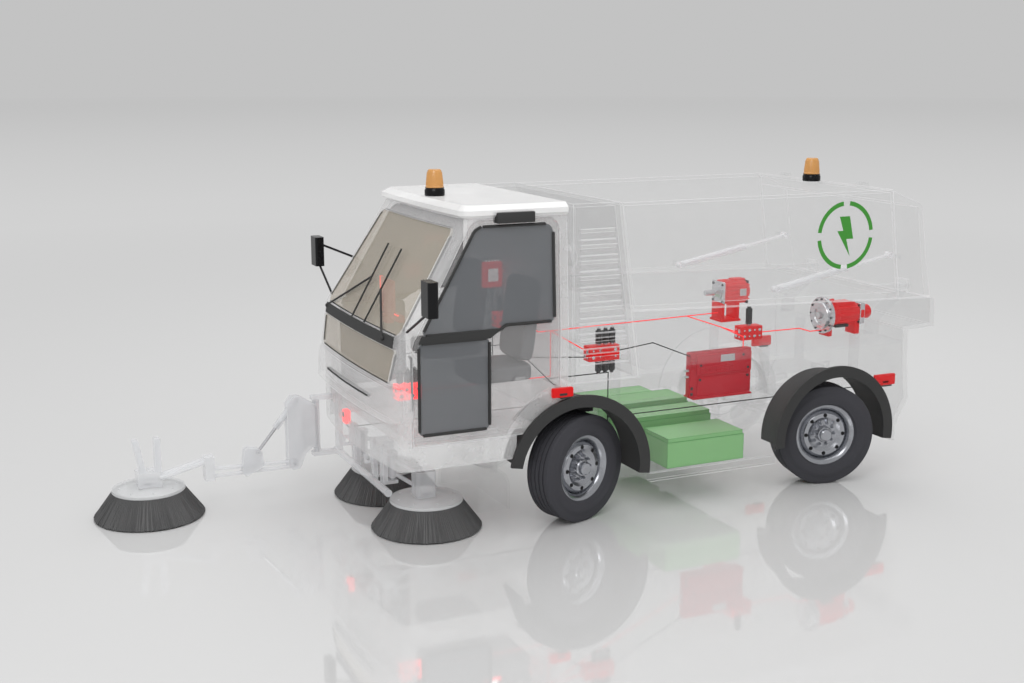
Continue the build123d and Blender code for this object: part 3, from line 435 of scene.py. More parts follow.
GLOSS_BLACK = Finish(
    "gloss_black", "black_trim", (0.006, 0.006, 0.007), 0.18, relief=0.02, variation=0.2, specular=0.22,
)
AMBER = Finish("amber_lens", "beacon", (0.62, 0.30, 0.085), 0.26, relief=0.02, variation=0.06, coat=0.3)
RUBBER = Rubber("tyre_rubber", "tyre_rubber", (0.016, 0.016, 0.017), 0.55)
SILVER = Brushed("wheel_silver", "rim_silver", (0.42, 0.43, 0.46), 0.24, metallic=0.95)
FAR_RUBBER = Finish(
    "see_through_tyre", "tyre_rubber", (0.16, 0.16, 0.16), 0.50, alpha=0.05, relief=0.05, variation=0.1,
)
FAR_SILVER = Finish(
    "see_through_wheel", "rim_silver", (0.50, 0.51, 0.53), 0.30, alpha=0.05, relief=0.02, variation=0.05,
)
BRIGHT = Brushed("bright_steel", "rod_chrome", (0.72, 0.72, 0.74), 0.22, metallic=0.8)
CLEAR_ROD = Finish(
    "see_through_rod", "rod_chrome", (0.90, 0.90, 0.92), 0.20, alpha=0.35, relief=0.01, variation=0.02,
)
# The red finishes, the hose and the terminal plate carry a painted glow, an emission though they are no
# lamps; it is strongest for parts seen through the cab glass.
RED = CastRed("red_lacquer", "component_red", (0.32, 0.002, 0.010), 0.34, specular=0.25, glow=0.55)
BRIGHT_GLOW_RED = CastRed("bright_red_lacquer", "component_red", (0.40, 0.002, 0.003), 0.34, specular=0.3, glow=0.75)
STRONG_GLOW_RED = CastRed("lit_red_lacquer", "component_red", (0.50, 0.002, 0.004), 0.34, specular=0.3, glow=4.2)
GLOW_LABEL = CastRed("lit_plate", "rod_chrome", (0.50, 0.45, 0.44), 0.35, specular=0.2, glow=5.0)
LINE_RED = CastRed("red_hose", "component_red", (0.62, 0.006, 0.010), 0.40, specular=0.2, glow=1.2)
CABLE = Finish(
    "cable_sheath", "black_trim", (0.010, 0.010, 0.010), 0.60, grain=700.0, relief=0.1, variation=0.2,
    specular=0.1,
)
LABEL = Finish("blank_plate", "rod_chrome", (0.52, 0.52, 0.53), 0.35, relief=0.02, variation=0.03)
GREEN = Finish(
    "battery_green", "battery_green", (0.115, 0.27, 0.115), 0.32, alpha=0.46, relief=0.03, variation=0.08,
)
# Lighter green for the lines along the pack edges: painted highlight.
GREEN_HIGHLIGHT = Finish(
    "battery_edge", "battery_green", (0.12, 0.42, 0.12), 0.32, alpha=0.85, relief=0.03, variation=0.08,
)
ICON_GREEN = Finish("icon_green", "battery_green", (0.042, 0.285, 0.024), 0.40, relief=0.02, variation=0.04)
FIBRE = BristleFibre("bristle_fibre", "bristle", (0.068, 0.068, 0.069), 0.46)
DUCT = Finish("duct_plastic", "duct_grey", (0.70, 0.71, 0.72), 0.35, alpha=0.06, relief=0.03, variation=0.05)
# The display parts carry a painted glow in dark red.
DISPLAY = CastRed("display_panel", "component_red", (0.15, 0.030, 0.028), 0.30, specular=0.2, glow=1.2)
CLOTH = Finish(
    "seat_cloth", "seat_cloth", (0.20, 0.20, 0.21), 0.85, alpha=0.30, grain=900.0, relief=0.5, variation=0.15,
)


class Form:
    """A mesh in the making; each shape is made on its own with bmesh operators and then joined on."""

    def __init__(self) -> None:
        """Start an empty mesh."""
        self.mesh = bmesh.new()

    def join(self, part: bmesh.types.BMesh, matrix: Matrix = Matrix.Identity(4)) -> None:
        """Move a finished shape into place and add it to the mesh.

        Args:
            part: the shape, freed afterwards.
            matrix: where it goes.
        """
        bmesh.ops.transform(part, matrix=matrix, verts=part.verts)
        data = bpy.data.meshes.new("part")
        part.to_mesh(data)
        part.free()
        self.mesh.from_mesh(data)
        bpy.data.meshes.remove(data)

    @staticmethod
    def round_edges(
        part: bmesh.types.BMesh, edges: Iterable[bmesh.types.BMEdge], width: float, segments: int = 2,
    ) -> None:
        """Bevel some edges of a shape with an even round."""
        bmesh.ops.bevel(
            part,
            geom=list(edges),
            offset=width,
            segments=segments,
            profile=0.5,
            affect="EDGES",
            clamp_overlap=True,
            material=-1,
        )

    def block(self, low: Point, high: Point, bevel: float = 0.0, segments: int = 2) -> None:
        """Box between two corners, with rounded edges.

        Args:
            low: lowest corner.
            high: highest corner.
            bevel: radius of the edges.
            segments: steps in each round.
        """
        low, high = Vector(low), Vector(high)
        part = bmesh.new()
        verts = bmesh.ops.create_cube(part, size=1.0)["verts"]
        bmesh.ops.transform(part, matrix=Matrix.Diagonal((*(high - low), 1.0)), verts=verts)
        if bevel > 0:
            self.round_edges(part, part.edges, bevel, segments)
        self.join(part, Matrix.Translation((high + low) / 2))

    def blocks(self, origin: Point, rows: Iterable[tuple[Point, Point, float]]) -> None:
        """Boxes whose corners are given from an origin.

        Args:
            origin: where the coordinates start.
            rows: lowest corner, highest corner and edge radius of each box.
        """
        for low, high, bevel in rows:
            self.block(Vector(origin) + Vector(low), Vector(origin) + Vector(high), bevel)

    def rod(
        self,
        start: Point,
        end: Point,
        radius: float,
        end_radius: Optional[float] = None,
        sides: int = 24,
        bevel: float = 0.0,
    ) -> None:
        """Round bar or cone between two points.

        Args:
            start: centre of the first end.
            end: centre of the second end.
            radius: radius at the start.
            end_radius: radius at the end, the same where it isn't given.
            sides: number of sides.
            bevel: radius of the end edges.
        """
        start, end = Vector(start), Vector(end)
        far = radius if end_radius is None else end_radius
        part = bmesh.new()
        bmesh.ops.create_cone(
            part, cap_ends=True, cap_tris=False, segments=sides, radius1=radius, radius2=far, depth=(
                end - start
            ).length
        )
        if bevel > 0:
            self.round_edges(part, [edge for edge in part.edges if self._is_rim(edge)], bevel)
        turn = (end - start).to_track_quat("Z", "Y").to_matrix().to_4x4()
        self.join(part, Matrix.Translation((start + end) / 2) @ turn)

    @staticmethod
    def _is_rim(edge: bmesh.types.BMEdge) -> bool:
        """Whether an edge of an upright cone lies level."""
        return abs(edge.verts[0].co.z - edge.verts[1].co.z) < 1e-9

    def ball(self, centre: Point, radius: float, sides: int = 12) -> None:
        """Sphere about a point."""
        part = bmesh.new()
        bmesh.ops.create_uvsphere(part, u_segments=sides, v_segments=max(6, sides // 2), radius=radius)
        self.join(part, Matrix.Translation(Vector(centre)))

    def tube(self, points: Sequence[Point], radius: float, sides: int = 10, closed: bool = False) -> None:
        """Bent tube through points, with a ball at each bend.

        Args:
            points: the corner points.
            radius: radius of the tube.
            sides: number of sides.
            closed: whether the last point joins the first.
        """
        path = [*points, points[0]] if closed else list(points)
        for start, end in zip(path, path[1:]):
            self.rod(start, end, radius, sides=sides)
        for bend in path[1:] if closed else path[1:-1]:
            self.ball(bend, radius, sides)

    def lathe(
        self,
        profile: Sequence[tuple[float, float]],
        centre: Point,
        axis: Point = (0, 0, 1),
        steps: int = 64,
        closed: bool = True,
    ) -> None:
        """Spin a profile about an axis.

        Args:
            profile: pairs of radius and distance along the axis.
            centre: point on the axis where the distance is nought.
            axis: direction of the axis.
            steps: steps in a full turn.
            closed: whether the profile is a loop.
        """
        part = bmesh.new()
        verts = [part.verts.new((radius, 0, along)) for radius, along in profile]
        edges = [part.edges.new(pair) for pair in zip(verts, verts[1:])]
        if closed:
            edges.append(part.edges.new((verts[-1], verts[0])))
        bmesh.ops.spin(
            part,
            geom=[*verts, *edges],
            cent=(0, 0, 0),
            axis=(0, 0, 1),
            angle=FULL_TURN,
            steps=steps,
            use_merge=True,
            use_duplicate=False,
        )
        bmesh.ops.remove_doubles(part, verts=part.verts, dist=1e-6)
        turn = Vector(axis).to_track_quat("Z", "Y").to_matrix().to_4x4()
        self.join(part, Matrix.Translation(Vector(centre)) @ turn)

    def plate(self, outline: Sequence[Point], push: Point, bevel: float = 0.0) -> None:
        """Flat plate from an outline in space, thickened along a direction.

        Args:
            outline: corners of one face.
            push: the way and thickness of the plate.
            bevel: radius of its edges.
        """
        part = bmesh.new()
        face = part.faces.new([part.verts.new(point) for point in outline])
        made = bmesh.ops.extrude_face_region(part, geom=[face])["geom"]
        moved = [item for item in made if isinstance(item, bmesh.types.BMVert)]
        bmesh.ops.translate(part, vec=Vector(push), verts=moved)
        if bevel > 0:
            self.round_edges(part, part.edges, bevel)
        self.join(part)

    def around(
        self, count: int, centre: Point, axis: Point, radius: float, draw: Callable[[Vector, Vector], None],
    ) -> None:
        """Repeat a detail evenly round an axis.

        Args:
            count: how many.
            centre: centre of the circle.
            axis: the circle's axis.
            radius: the circle's radius.
            draw: called with each place and the outward direction.
        """
        turn = Vector(axis).to_track_quat("Z", "Y").to_matrix()
        for index in range(count):
            angle = FULL_TURN * index / count
            outward = turn @ Vector((math.cos(angle), math.sin(angle), 0))
            draw(Vector(centre) + outward * radius, outward)

    def node_edges(
        self, node: str, width: float, angle: float, shortest: float = 0.0, shift: Point = (0, 0, 0),
    ) -> None:
        """Fine bars along the sharp edges of a node.

        Args:
            node: the node's name.
            width: radius of the bars.
            angle: least angle between the faces, in degrees.
            shortest: edges shorter than this get none.
            shift: how far the bars stand off.
        """
        source = bmesh.new()
        source.from_mesh(frame["nodes"][node].data)
        bmesh.ops.remove_doubles(source, verts=source.verts, dist=1e-5)
        for edge in source.edges:
            if len(
                edge.link_faces
            ) == 2 and edge.calc_face_angle() > math.radians(angle) and edge.calc_length() > shortest:
                first, second = (vert.co + Vector(shift) for vert in edge.verts)
                self.rod(first, second, width, sides=5)
        source.free()

    def finish(
        self,
        name: str,
        finish: Finish,
        body: str,
        replaces: Sequence[str] = (),
        smooth: float = 35.0,
    ) -> bpy.types.Object:
        """Turn the mesh into a piece of the scene.

        Args:
            name: the piece's name.
            finish: its finish.
            body: the body that it rides on.
            replaces: nodes that it stands for.
            smooth: angle in degrees under which faces shade smoothly.

        Returns:
            the new object.
        """
        bmesh.ops.recalc_face_normals(self.mesh, faces=self.mesh.faces)
        for face in self.mesh.faces:
            face.smooth = True
        for edge in self.mesh.edges:
            if len(edge.link_faces) == 2:
                edge.smooth = edge.calc_face_angle() < math.radians(smooth)
        data = bpy.data.meshes.new(name)
        self.mesh.to_mesh(data)
        self.mesh.free()
        made = bpy.data.objects.new(name, data)
        bpy.context.scene.collection.objects.link(made)
        data.materials.append(finish.material())
        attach(made, body)
        if replaces:
            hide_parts(*replaces)
        LOG.info("%s: %d faces, on %s", name, len(data.polygons), body)
        return made


def dress_node(node: str, finish: Finish) -> None:
    """Give a kept node its finish."""
    item = frame["nodes"][node]
    item.data.materials.clear()
    item.data.materials.append(finish.material())
    LOG.info("%s: kept with %s", node, finish.name)


def single_block(
    name: str, low: Point, high: Point, finish: Finish, bevel: float = 0.0, body: str = "machine"
) -> None:
    """Make a piece that is one rounded box.

    Args:
        name: the piece's name.
        low: lowest corner.
        high: highest corner.
        finish: its finish.
        bevel: radius of the edges.
        body: the body that it rides on.
    """
    form = Form()
    form.block(low, high, bevel)
    form.finish(name, finish, body)


def connect(tree: bpy.types.NodeTree, *links: tuple[bpy.types.NodeSocket, bpy.types.NodeSocket]) -> None:
    """Link outputs to inputs in a node tree."""
    for output, socket in links:
        tree.links.new(output, socket)


@dataclass
class Bodywork:
    """See-through panels with bright lines along their edges as painted highlights."""

    line: float = 0.0017
    fine_line: float = 0.0012
    edge_angle: float = 44.0
    shortest: float = 0.10

    def build(self) -> None:
        """Dress the panels and draw bright lines along their edges as painted highlights."""
        # Panel greys: painted light on the roof, painted shade on the lower body and cooling tower.
        for node in ("cooling_tower", "lower_body"):
            dress_node(node, GHOST)
        for node in ("hopper_shell", "hopper_gate"):
            dress_node(node, GHOST_HOPPER)
        for node in ("cab_shell", "front_bumper"):
            dress_node(node, GHOST_CAB)
        for node in ("door_left", "door_right"):
            dress_node(node, GHOST_DOOR)
        dress_node("cab_roof", GHOST_ROOF)
        for node in ("chassis_frame", "front_axle", "rear_axle", "front_track_rod", "rear_track_rod"):
            dress_node(node, GHOST_STEEL)
        for end in End:
            for side in Side:
                dress_node(f"{end.value}_{side.word}_knuckle", GHOST_STEEL)
        for node in ("suction_nozzle", "suction_duct"):
            dress_node(node, DUCT)
        self.edges(
            "shell_edges", "machine", ("cab_shell", "cooling_tower", "lower_body", "front_bumper"), self.line,
        )
        self.edges("frame_edges", "machine", ("front_frame",), self.fine_line)
        self.edges("hopper_edges", "hopper", ("hopper_shell",), self.line)
        self.edges("gate_edges", "gate", ("hopper_gate",), self.line)

    def edges(self, name: str, body: str, nodes: Sequence[str], width: float) -> None:
        """Draw bright lines along the edges of some nodes, as painted highlights.

        Args:
            name: the new piece's name.
            body: the body that the nodes are on.
            nodes: the nodes.
            width: radius of a line.
        """
        form = Form()
        for node in nodes:
            form.node_edges(node, width, self.edge_angle, self.shortest)
        form.finish(name, EDGE_HIGHLIGHT, body)


@dataclass
class Glazing:
    """Screen, nose pane and door glass with black gaskets."""

    gasket: float = 0.0105
    proud: float = 0.010
    screen_gasket: float = 0.0045
    bar_low: Point = (0.694, 1.216, 1.440)
    bar_high: Point = (0.612, 1.194, 1.492)

    def build(self) -> None:
        """Dress the glass nodes and frame them."""
        dress_node("cab_glass", SCREEN)
        dress_node("cowl_wipers", BLACK)
        form = Form()
        form.node_edges("cab_glass", self.screen_gasket, 38.0, 0.010)
        form.finish("screen_gasket", BLACK, "machine")
        for side in Side:
            node = f"door_glass_{side.word}"
            dress_node(node, DOOR_GLASS)
            form = Form()
            form.node_edges(node, self.gasket, 38.0, 0.010, (0, side.value * self.proud, 0))
            self.middle_bar(form, node)
            form.finish(f"{node}_gasket", BLACK, f"{side.word}_door")

    def middle_bar(self, form: Form, node: str) -> None:
        """Black bar between the two panes, from corner to corner of the glass.

        Args:
            form: the mesh.
            node: the door's glass.
        """
        verts = [vert.co for vert in frame["nodes"][node].data.vertices]
        corners = []
        for x, z in ((self.bar_low[0], self.bar_low[2]), (self.bar_low[1], self.bar_low[2]),
                     (self.bar_high[1], self.bar_high[2]), (self.bar_high[0], self.bar_high[2])):
            near = min(verts, key=lambda vert: abs(vert.x - x) + abs(vert.z - z) - 0.5 * abs(vert.y))
            corners.append(Vector((x, near.y, z)))
        side = 1 if corners[0].y > 0 else -1
        form.plate([corner + Vector((0, side * 0.004, 0)) for corner in corners], (0, side * 0.016, 0), 0.003)


@dataclass
class RoadWheel:
    """Tyre and disc wheel on one steered knuckle."""

    end: End
    side: Side
    width: float = 0.233
    bead: float = 0.224
    tread: float = 0.100
    groove: float = 0.011
    depth: float = 0.012
    ribs: int = 5
    rim_half: float = 0.090
    nuts: int = 10
    nut_circle: float = 0.088
    nut_seat: float = 0.050
    hand_holes: int = 8
    hole_circle: float = 0.155
    hole_face: float = 0.0665

    def build(self) -> None:
        """Make the tyre and the wheel."""
        spin = joint(f"{self.end.value}_{self.side.word}_wheel_spin")
        self.centre, self.axis = Vector(spin["pos_m"]), Vector(spin["axis"]) * self.side.value
        self.body = f"{self.end.value}_{self.side.word}_wheel"
        self.tyre()
        self.disc()

    def tread_points(self) -> list[tuple[float, float]]:
        """Outer contour of the tread with its grooves, from one shoulder to the other."""
        radius, points = self.centre.z, []
        pitch = 2 * self.tread / self.ribs
        for index in range(1, self.ribs):
            along = -self.tread + index * pitch
            half = self.groove / 2
            points += [(radius, along - half), (radius - self.depth, along - half * 0.5)]
            points += [(radius - self.depth, along + half * 0.5), (radius, along + half)]
        return points

    def tyre(self) -> None:
        """Ribbed tyre spun about the axle."""
        radius, half = self.centre.z, self.width / 2
        flank = [
            (self.bead + 0.002, 0.078), (self.bead + 0.016, 0.084), (self.bead + 0.030, half - 0.014),
            (self.bead + 0.034, half - 0.008), (self.bead + 0.060, half - 0.002), (self.bead + 0.085, half),
            (self.bead + 0.110, half - 0.001), (self.bead + 0.114, half - 0.004),
            (radius - 0.036, half - 0.006),
            (radius - 0.018, half - 0.010), (radius - 0.004, self.tread + 0.002),
        ]
        right = [(r, -s) for r, s in flank]
        left = [(r, s) for r, s in reversed(flank)]
        profile = [
            *right, (radius, -self.tread + 0.004), *self.tread_points(), (radius, self.tread - 0.004), *left,
        ]
        form = Form()
        form.lathe(profile, self.centre, self.axis, 96)
        finish = RUBBER if self.side is Side.LEFT else FAR_RUBBER
        form.finish(
            f"{self.body}_ribbed_tyre", finish, self.body, [f"{self.end.value}_{self.side.word}_tyre"],
        )

    def disc(self) -> None:
        """Pressed wheel with nuts and a hub cap, and black discs as painted shade in its hand holes."""
        edge = self.rim_half
        rim = [
            (0.224, -edge + 0.012), (0.240, -edge + 0.004), (0.243, -edge), (0.238, -edge),
            (0.226, -edge + 0.006), (0.212, -edge + 0.016),
            (0.204, -0.03), (0.196, 0.03), (0.200, 0.050), (0.214, edge - 0.014), (0.228, edge - 0.006),
            (0.240, edge),
            (0.245, edge - 0.001), (0.240, edge - 0.006), (0.224, edge - 0.014),
        ]
        form = Form()
        form.lathe(rim, self.centre, self.axis, 72)
        dish = [
            (0.201, 0.020), (0.190, 0.050), (0.170, 0.068), (0.140, 0.070), (0.122, 0.058), (0.108, 0.050),
            (0.060, 0.050),
            (0.060, 0.044), (0.110, 0.044), (0.126, 0.052), (0.142, 0.062), (0.168, 0.060), (0.184, 0.044),
            (0.196, 0.014),
        ]
        form.lathe(dish, self.centre, self.axis, 72)
        hub = [
            (0.064, 0.040), (0.064, 0.074), (0.058, 0.082), (0.050, 0.084), (0.048, 0.108), (0.040, 0.116),
            (0.0, 0.118),
            (0.0, 0.040),
        ]
        form.lathe(hub, self.centre, self.axis, 40, closed=False)
        form.around(
            self.nuts, self.centre + self.axis * self.nut_seat, self.axis, self.nut_circle, lambda spot,
            out: self.nut(form, spot),
        )
        finish = SILVER if self.side is Side.LEFT else FAR_SILVER
        form.finish(f"{self.body}_disc", finish, self.body, [f"{self.end.value}_{self.side.word}_rim"])
        # Black discs laid on the solid dish as painted shade in the hand holes.
        dark = Form()
        dark.around(
            self.hand_holes, self.centre + self.axis * self.hole_face, self.axis, self.hole_circle,
            lambda spot, out: self.hand_hole(dark, spot),
        )
        dark.finish(
            f"{self.body}_hand_holes", GLOSS_BLACK if self.side is Side.LEFT else FAR_RUBBER, self.body,
        )

    def nut(self, form: Form, spot: Vector) -> None:
        """One wheel nut with its washer and stud."""
        # columns: start and end along the axle, radius at each, sides
        for start, end, radius, end_radius, sides in (
            (0.0, 0.006, 0.0145, 0.0145, 18),
            (0.006, 0.024, 0.0125, 0.0115, 6),
            (0.024, 0.034, 0.0065, 0.0065, 10),
        ):
            form.rod(spot + self.axis * start, spot + self.axis * end, radius, end_radius, sides=sides)

    def hand_hole(self, form: Form, spot: Vector) -> None:
        """Black disc as painted shade in one hand hole."""
        form.rod(spot - self.axis * 0.004, spot + self.axis * 0.0045, 0.0155, sides=18)


@dataclass
class RotaryBrush:
    """Brush cone made of tufts under a carrier plate."""

    node: str
    body: str
    tufts: int = 150
    rows: int = 2
    plate: float = 0.030
    seed: int = 17
    bolts: int = 8
    inner_share: float = 0.60
    outer_share: float = 0.64
    plate_share: float = 0.65
    bolt_share: float = 0.80

    def build(self) -> None:
        """Make the tufts and the plate."""
        low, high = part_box(self.node)
        self.centre = Vector(((low.x + high.x) / 2, (low.y + high.y) / 2, 0))
        self.reach, self.top, self.foot = (high.x - low.x) / 2, high.z, low.z
        self.fibres()
        self.carrier()

    def fibres(self) -> None:
        """Dense skirt of fibres over a dark cone."""
        form = Form()
        neck = self.top - self.plate
        inner, outer = self.reach * self.inner_share, self.reach * self.outer_share
        cone = [
            (self.reach * 0.985, self.foot + 0.004), (outer, neck), (inner - 0.05, neck),
            (self.reach * 0.80, self.foot + 0.010),
        ]
        form.lathe(cone, self.centre, UP, 96)
        source = random.Random(self.seed)
        for row in range(self.rows):
            for index in range(self.tufts):
                angle = FULL_TURN * (index + row * 0.5) / self.tufts
                out = Vector((math.cos(angle), math.sin(angle), 0))
                spread = self.reach * 0.990 - source.random() * 0.004
                foot = self.foot + source.random() * 0.006
                start = self.centre + out * (outer - 0.008 * row) + UP * neck
                way = out.cross(UP) * (source.random() - 0.5) * 0.02
                form.rod(start, self.centre + out * spread + way + UP * foot, 0.0030, 0.0042, sides=5)
        form.finish(f"{self.node}_fibres", FIBRE, self.body, [self.node])

    def carrier(self) -> None:
        """See-through carrier plate with its bolts and hub."""
        form = Form()
        top, rim = self.top, self.reach * self.plate_share
        plate = [
            (rim, top - self.plate - 0.006), (rim + 0.004, top - self.plate), (rim, top - 0.014),
            (rim - 0.03, top - 0.008),
            (rim * 0.52, top - 0.002), (rim * 0.50, top), (0.032, top), (0.032, top - 0.016),
            (rim * 0.5, top - 0.018),
            (rim - 0.04, top - self.plate),
        ]
        form.lathe(plate, self.centre, UP, 72)
        bolt_foot = self.centre + UP * (top - 0.013)
        form.around(self.bolts, bolt_foot, UP, rim * self.bolt_share,
                    lambda spot, out: form.rod(spot, spot + UP * 0.011, 0.009, sides=6))
        form.finish(f"{self.node}_carrier", CARRIER, self.body)


@dataclass
class Beacon:
    """Ribbed amber beacon on a black foot."""

    node: str
    body: str
    ribs: int = 30
    wide_share: float = 0.90
    narrow_share: float = 0.70

    def build(self) -> None:
        """Make the foot and the lens."""
        low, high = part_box(self.node)
        centre = Vector(((low.x + high.x) / 2, (low.y + high.y) / 2, low.z))
        radius, tall = (high.x - low.x) / 2, high.z - low.z
        foot = Form()
        foot.lathe(
            [
                (0, 0), (radius - 0.004, 0), (radius, 0.004), (radius, 0.040), (radius - 0.006, 0.052),
                (radius - 0.004, 0.060), (0, 0.060),
            ],
            centre, UP, 48, closed=False,
        )
        foot.finish(f"{self.node}_foot", GLOSS_BLACK, self.body, [self.node])
        lens = Form()
        wide, narrow = radius * self.wide_share, radius * self.narrow_share
        profile = [
            (0, 0.058), (wide, 0.058), (wide, 0.070), (wide - 0.004, 0.074), (narrow + 0.003, tall - 0.022),
            (narrow, tall - 0.016), (narrow - 0.002, tall - 0.008), (narrow - 0.010, tall), (0, tall),
        ]
        lens.lathe(profile, centre, UP, 60, closed=False)
        low_rib, high_rib = (wide - 0.005, 0.076), (narrow + 0.001, tall - 0.022)
        lens.around(self.ribs, centre, UP, 1.0, lambda spot, out: lens.rod(
            *(centre + out * reach + UP * rise for reach, rise in (low_rib, high_rib)), 0.0030, sides=6))
        lens.finish(f"{self.node}_lens", AMBER, self.body)


@dataclass
class Trims:
    """Black slot of the bumper, box over the door and grab rod by the door."""

    slot_half: float = 0.475
    slot_z: Point = (1.019, 1.035)
    nose_x: float = 1.471
    slot_back: float = 1.434
    bow: float = 0.0405
    bow_half: float = 0.8
    box_low: Point = (0.352, 0.792, 2.226)
    box_high: Point = (0.637, 0.872, 2.300)
    grab_x: float = 1.262
    grab_points: Sequence[tuple[float, float]] = (
        (0.800, 1.350), (0.845, 1.345), (0.848, 0.985), (0.800, 0.975),
    )
    grab_radius: float = 0.009

    def build(self) -> None:
        """Make the trims."""
        form = Form()
        front = []
        steps = 8
        for step in range(steps + 1):
            y = self.slot_half * (2 * step / steps - 1)
            front.append((self.nose_x - self.bow * (y / self.bow_half) ** 2, y, self.slot_z[0]))
        outline = [*front, *((self.slot_back, y, self.slot_z[0]) for y in (self.slot_half, -self.slot_half))]
        form.plate(outline, (0, 0, self.slot_z[1] - self.slot_z[0]))
        form.block(self.box_low, self.box_high, 0.008)
        form.tube([(self.grab_x, y, z) for y, z in self.grab_points], self.grab_radius, 12)
        form.finish("nose_trims", BLACK, "machine")


@dataclass
class Mirrors:
    """Rear view mirrors with their arms."""

    def build(self) -> None:
        """Dress the housings."""
        dress_node("mirrors", GLOSS_BLACK)


@dataclass
class Arches:
    """Wheel arches: black on the left, see-through on the far side."""

    def build(self) -> None:
        """Dress the arches, each side with its own finish."""
        dress_node("wheel_arches", BLACK)
        data = frame["nodes"]["wheel_arches"].data
        data.materials.append(FAR_RUBBER.material())
        for face in data.polygons:
            face.material_index = int(face.center.y < 0)


@dataclass
class Batteries:
    """Green battery packs with lighter green lines along their edges as painted highlights."""

    line: float = 0.0016
    edge_angle: float = 38.0

    def build(self) -> None:
        """Dress the packs and draw their painted edge highlights."""
        dress_node("battery_packs", GREEN)
        form = Form()
        form.node_edges("battery_packs", self.line, self.edge_angle)
        form.finish("battery_edges", GREEN_HIGHLIGHT, "machine")


@dataclass
class FrontArm:
    """Brush arm on the nose, with its turret and lift cylinder."""

    line: float = 0.0012
    edge_angle: float = 38.0

    def build(self) -> None:
        """Dress the arm and draw bright lines along its edges as painted highlights."""
        for node in ("arm_turret", "arm_boom", "front_frame", "lift_cylinder_barrel"):
            dress_node(node, GHOST_ARM)
        dress_node("lift_cylinder_rod", BRIGHT)
        edged = [("turret_edges", "turret", "arm_turret"), ("boom_edges", "boom", "arm_boom")]
        for side in Side:
            dress_node(f"side_brush_arm_{side.word}", GHOST_ARM)
            edged.append((f"{side.word}_arm_edges", f"{side.word}_side_arm", f"side_brush_arm_{side.word}"))
        for name, body, node in edged:
            form = Form()
            form.node_edges(node, self.line, self.edge_angle)
            form.finish(name, EDGE_HIGHLIGHT, body)


@dataclass
class Valve:
    """One valve block: its body, its solenoids and its ports."""

    low: Point
    high: Point
    coils: Sequence[float]
    coil_z: Point
    radius: float
    below: bool = False
    # Valves behind the cab glass take the red with the strongest painted glow.
    behind_glass: bool = False
    stem: float = 0.012
    cap: float = 0.022
    nut: float = 0.008
    plug_half: tuple[float, float] = (0.012, 0.015)

    def build(self, red: Form, black: Form, silver: Form) -> None:
        """Add the block to the three meshes.

        Args:
            red: the castings.
            black: the solenoids.
            silver: the ports and stems.
        """
        red.block(self.low, self.high, 0.003)
        y = (self.low[1] + self.high[1]) / 2
        for x in self.coils:
            ends = [(self.high[2], self.coil_z[1])] + ([(self.low[2], self.coil_z[0])] if self.below else [])
            for root, tip in ends:
                way = 1 if tip > root else -1
                stem, cap, nut = root + way * self.stem, tip - way * self.cap, tip - way * self.nut
                silver.rod((x, y, root), (x, y, stem), self.radius * 0.7, sides=16)
                black.rod((x, y, stem), (x, y, cap), self.radius, sides=18, bevel=0.003)
                black.rod((x, y, cap), (x, y, nut), self.radius * 0.6, sides=12)
                silver.rod((x, y, nut), (x, y, tip), self.radius * 0.34, sides=12)
                plug, reach = Vector((x, y, root + (tip - root) * 0.45)), self.radius * 0.98
                half = Vector((self.plug_half[0], reach, self.plug_half[1]))
                black.block(plug - half, plug + half, 0.003)
        self.ports(silver)

    def ports(self, silver: Form) -> None:
        """Screw plugs on the left and front faces."""
        length, tall = self.high[0] - self.low[0], self.high[2] - self.low[2]
        for column in range(4):
            for row in range(2):
                x = self.low[0] + length * (0.14 + 0.24 * column)
                z = self.low[2] + tall * (0.28 + 0.44 * row)
                radius = 0.013 if (column + row) % 2 else 0.008
                silver.rod(
                    (x, self.high[1] - 0.002, z), (x, self.high[1] + 0.004, z), radius, sides=14, bevel=0.001,
                )
        width = self.high[1] - self.low[1]
        for y_part, z_part, radius in (
            (0.30, 0.30, 0.016), (0.70, 0.66, 0.017), (0.28, 0.74, 0.009), (0.74, 0.24, 0.009),
        ):
            y, z = self.low[1] + width * y_part, self.low[2] + tall * z_part
            silver.rod(
                (self.high[0] - 0.002, y, z), (self.high[0] + 0.004, y, z), radius, sides=14, bevel=0.001,
            )


# columns: lowest corner, highest corner, x of each solenoid, z of the lowest and highest tip, radius
VALVES = [
    Valve(
        (0.125, 0.070, 1.360), (0.332, 0.170, 1.470), (0.157, 0.222, 0.287), (1.360, 1.600), 0.022,
        behind_glass=True,
    ),
    Valve(
        (1.097, 0.500, 0.995), (1.277, 0.600, 1.100), (1.132, 1.187, 1.242), (0.995, 1.215), 0.024,
        behind_glass=True,
    ),
    Valve(
        (-0.368, 0.700, 1.180), (-0.118, 0.790, 1.290), (-0.328, -0.273, -0.218), (1.075, 1.420), 0.024,
        below=True,
    ),
    Valve((-1.918, 0.260, 1.120), (-1.718, 0.360, 1.230), (-1.818,), (1.120, 1.390), 0.026),
]


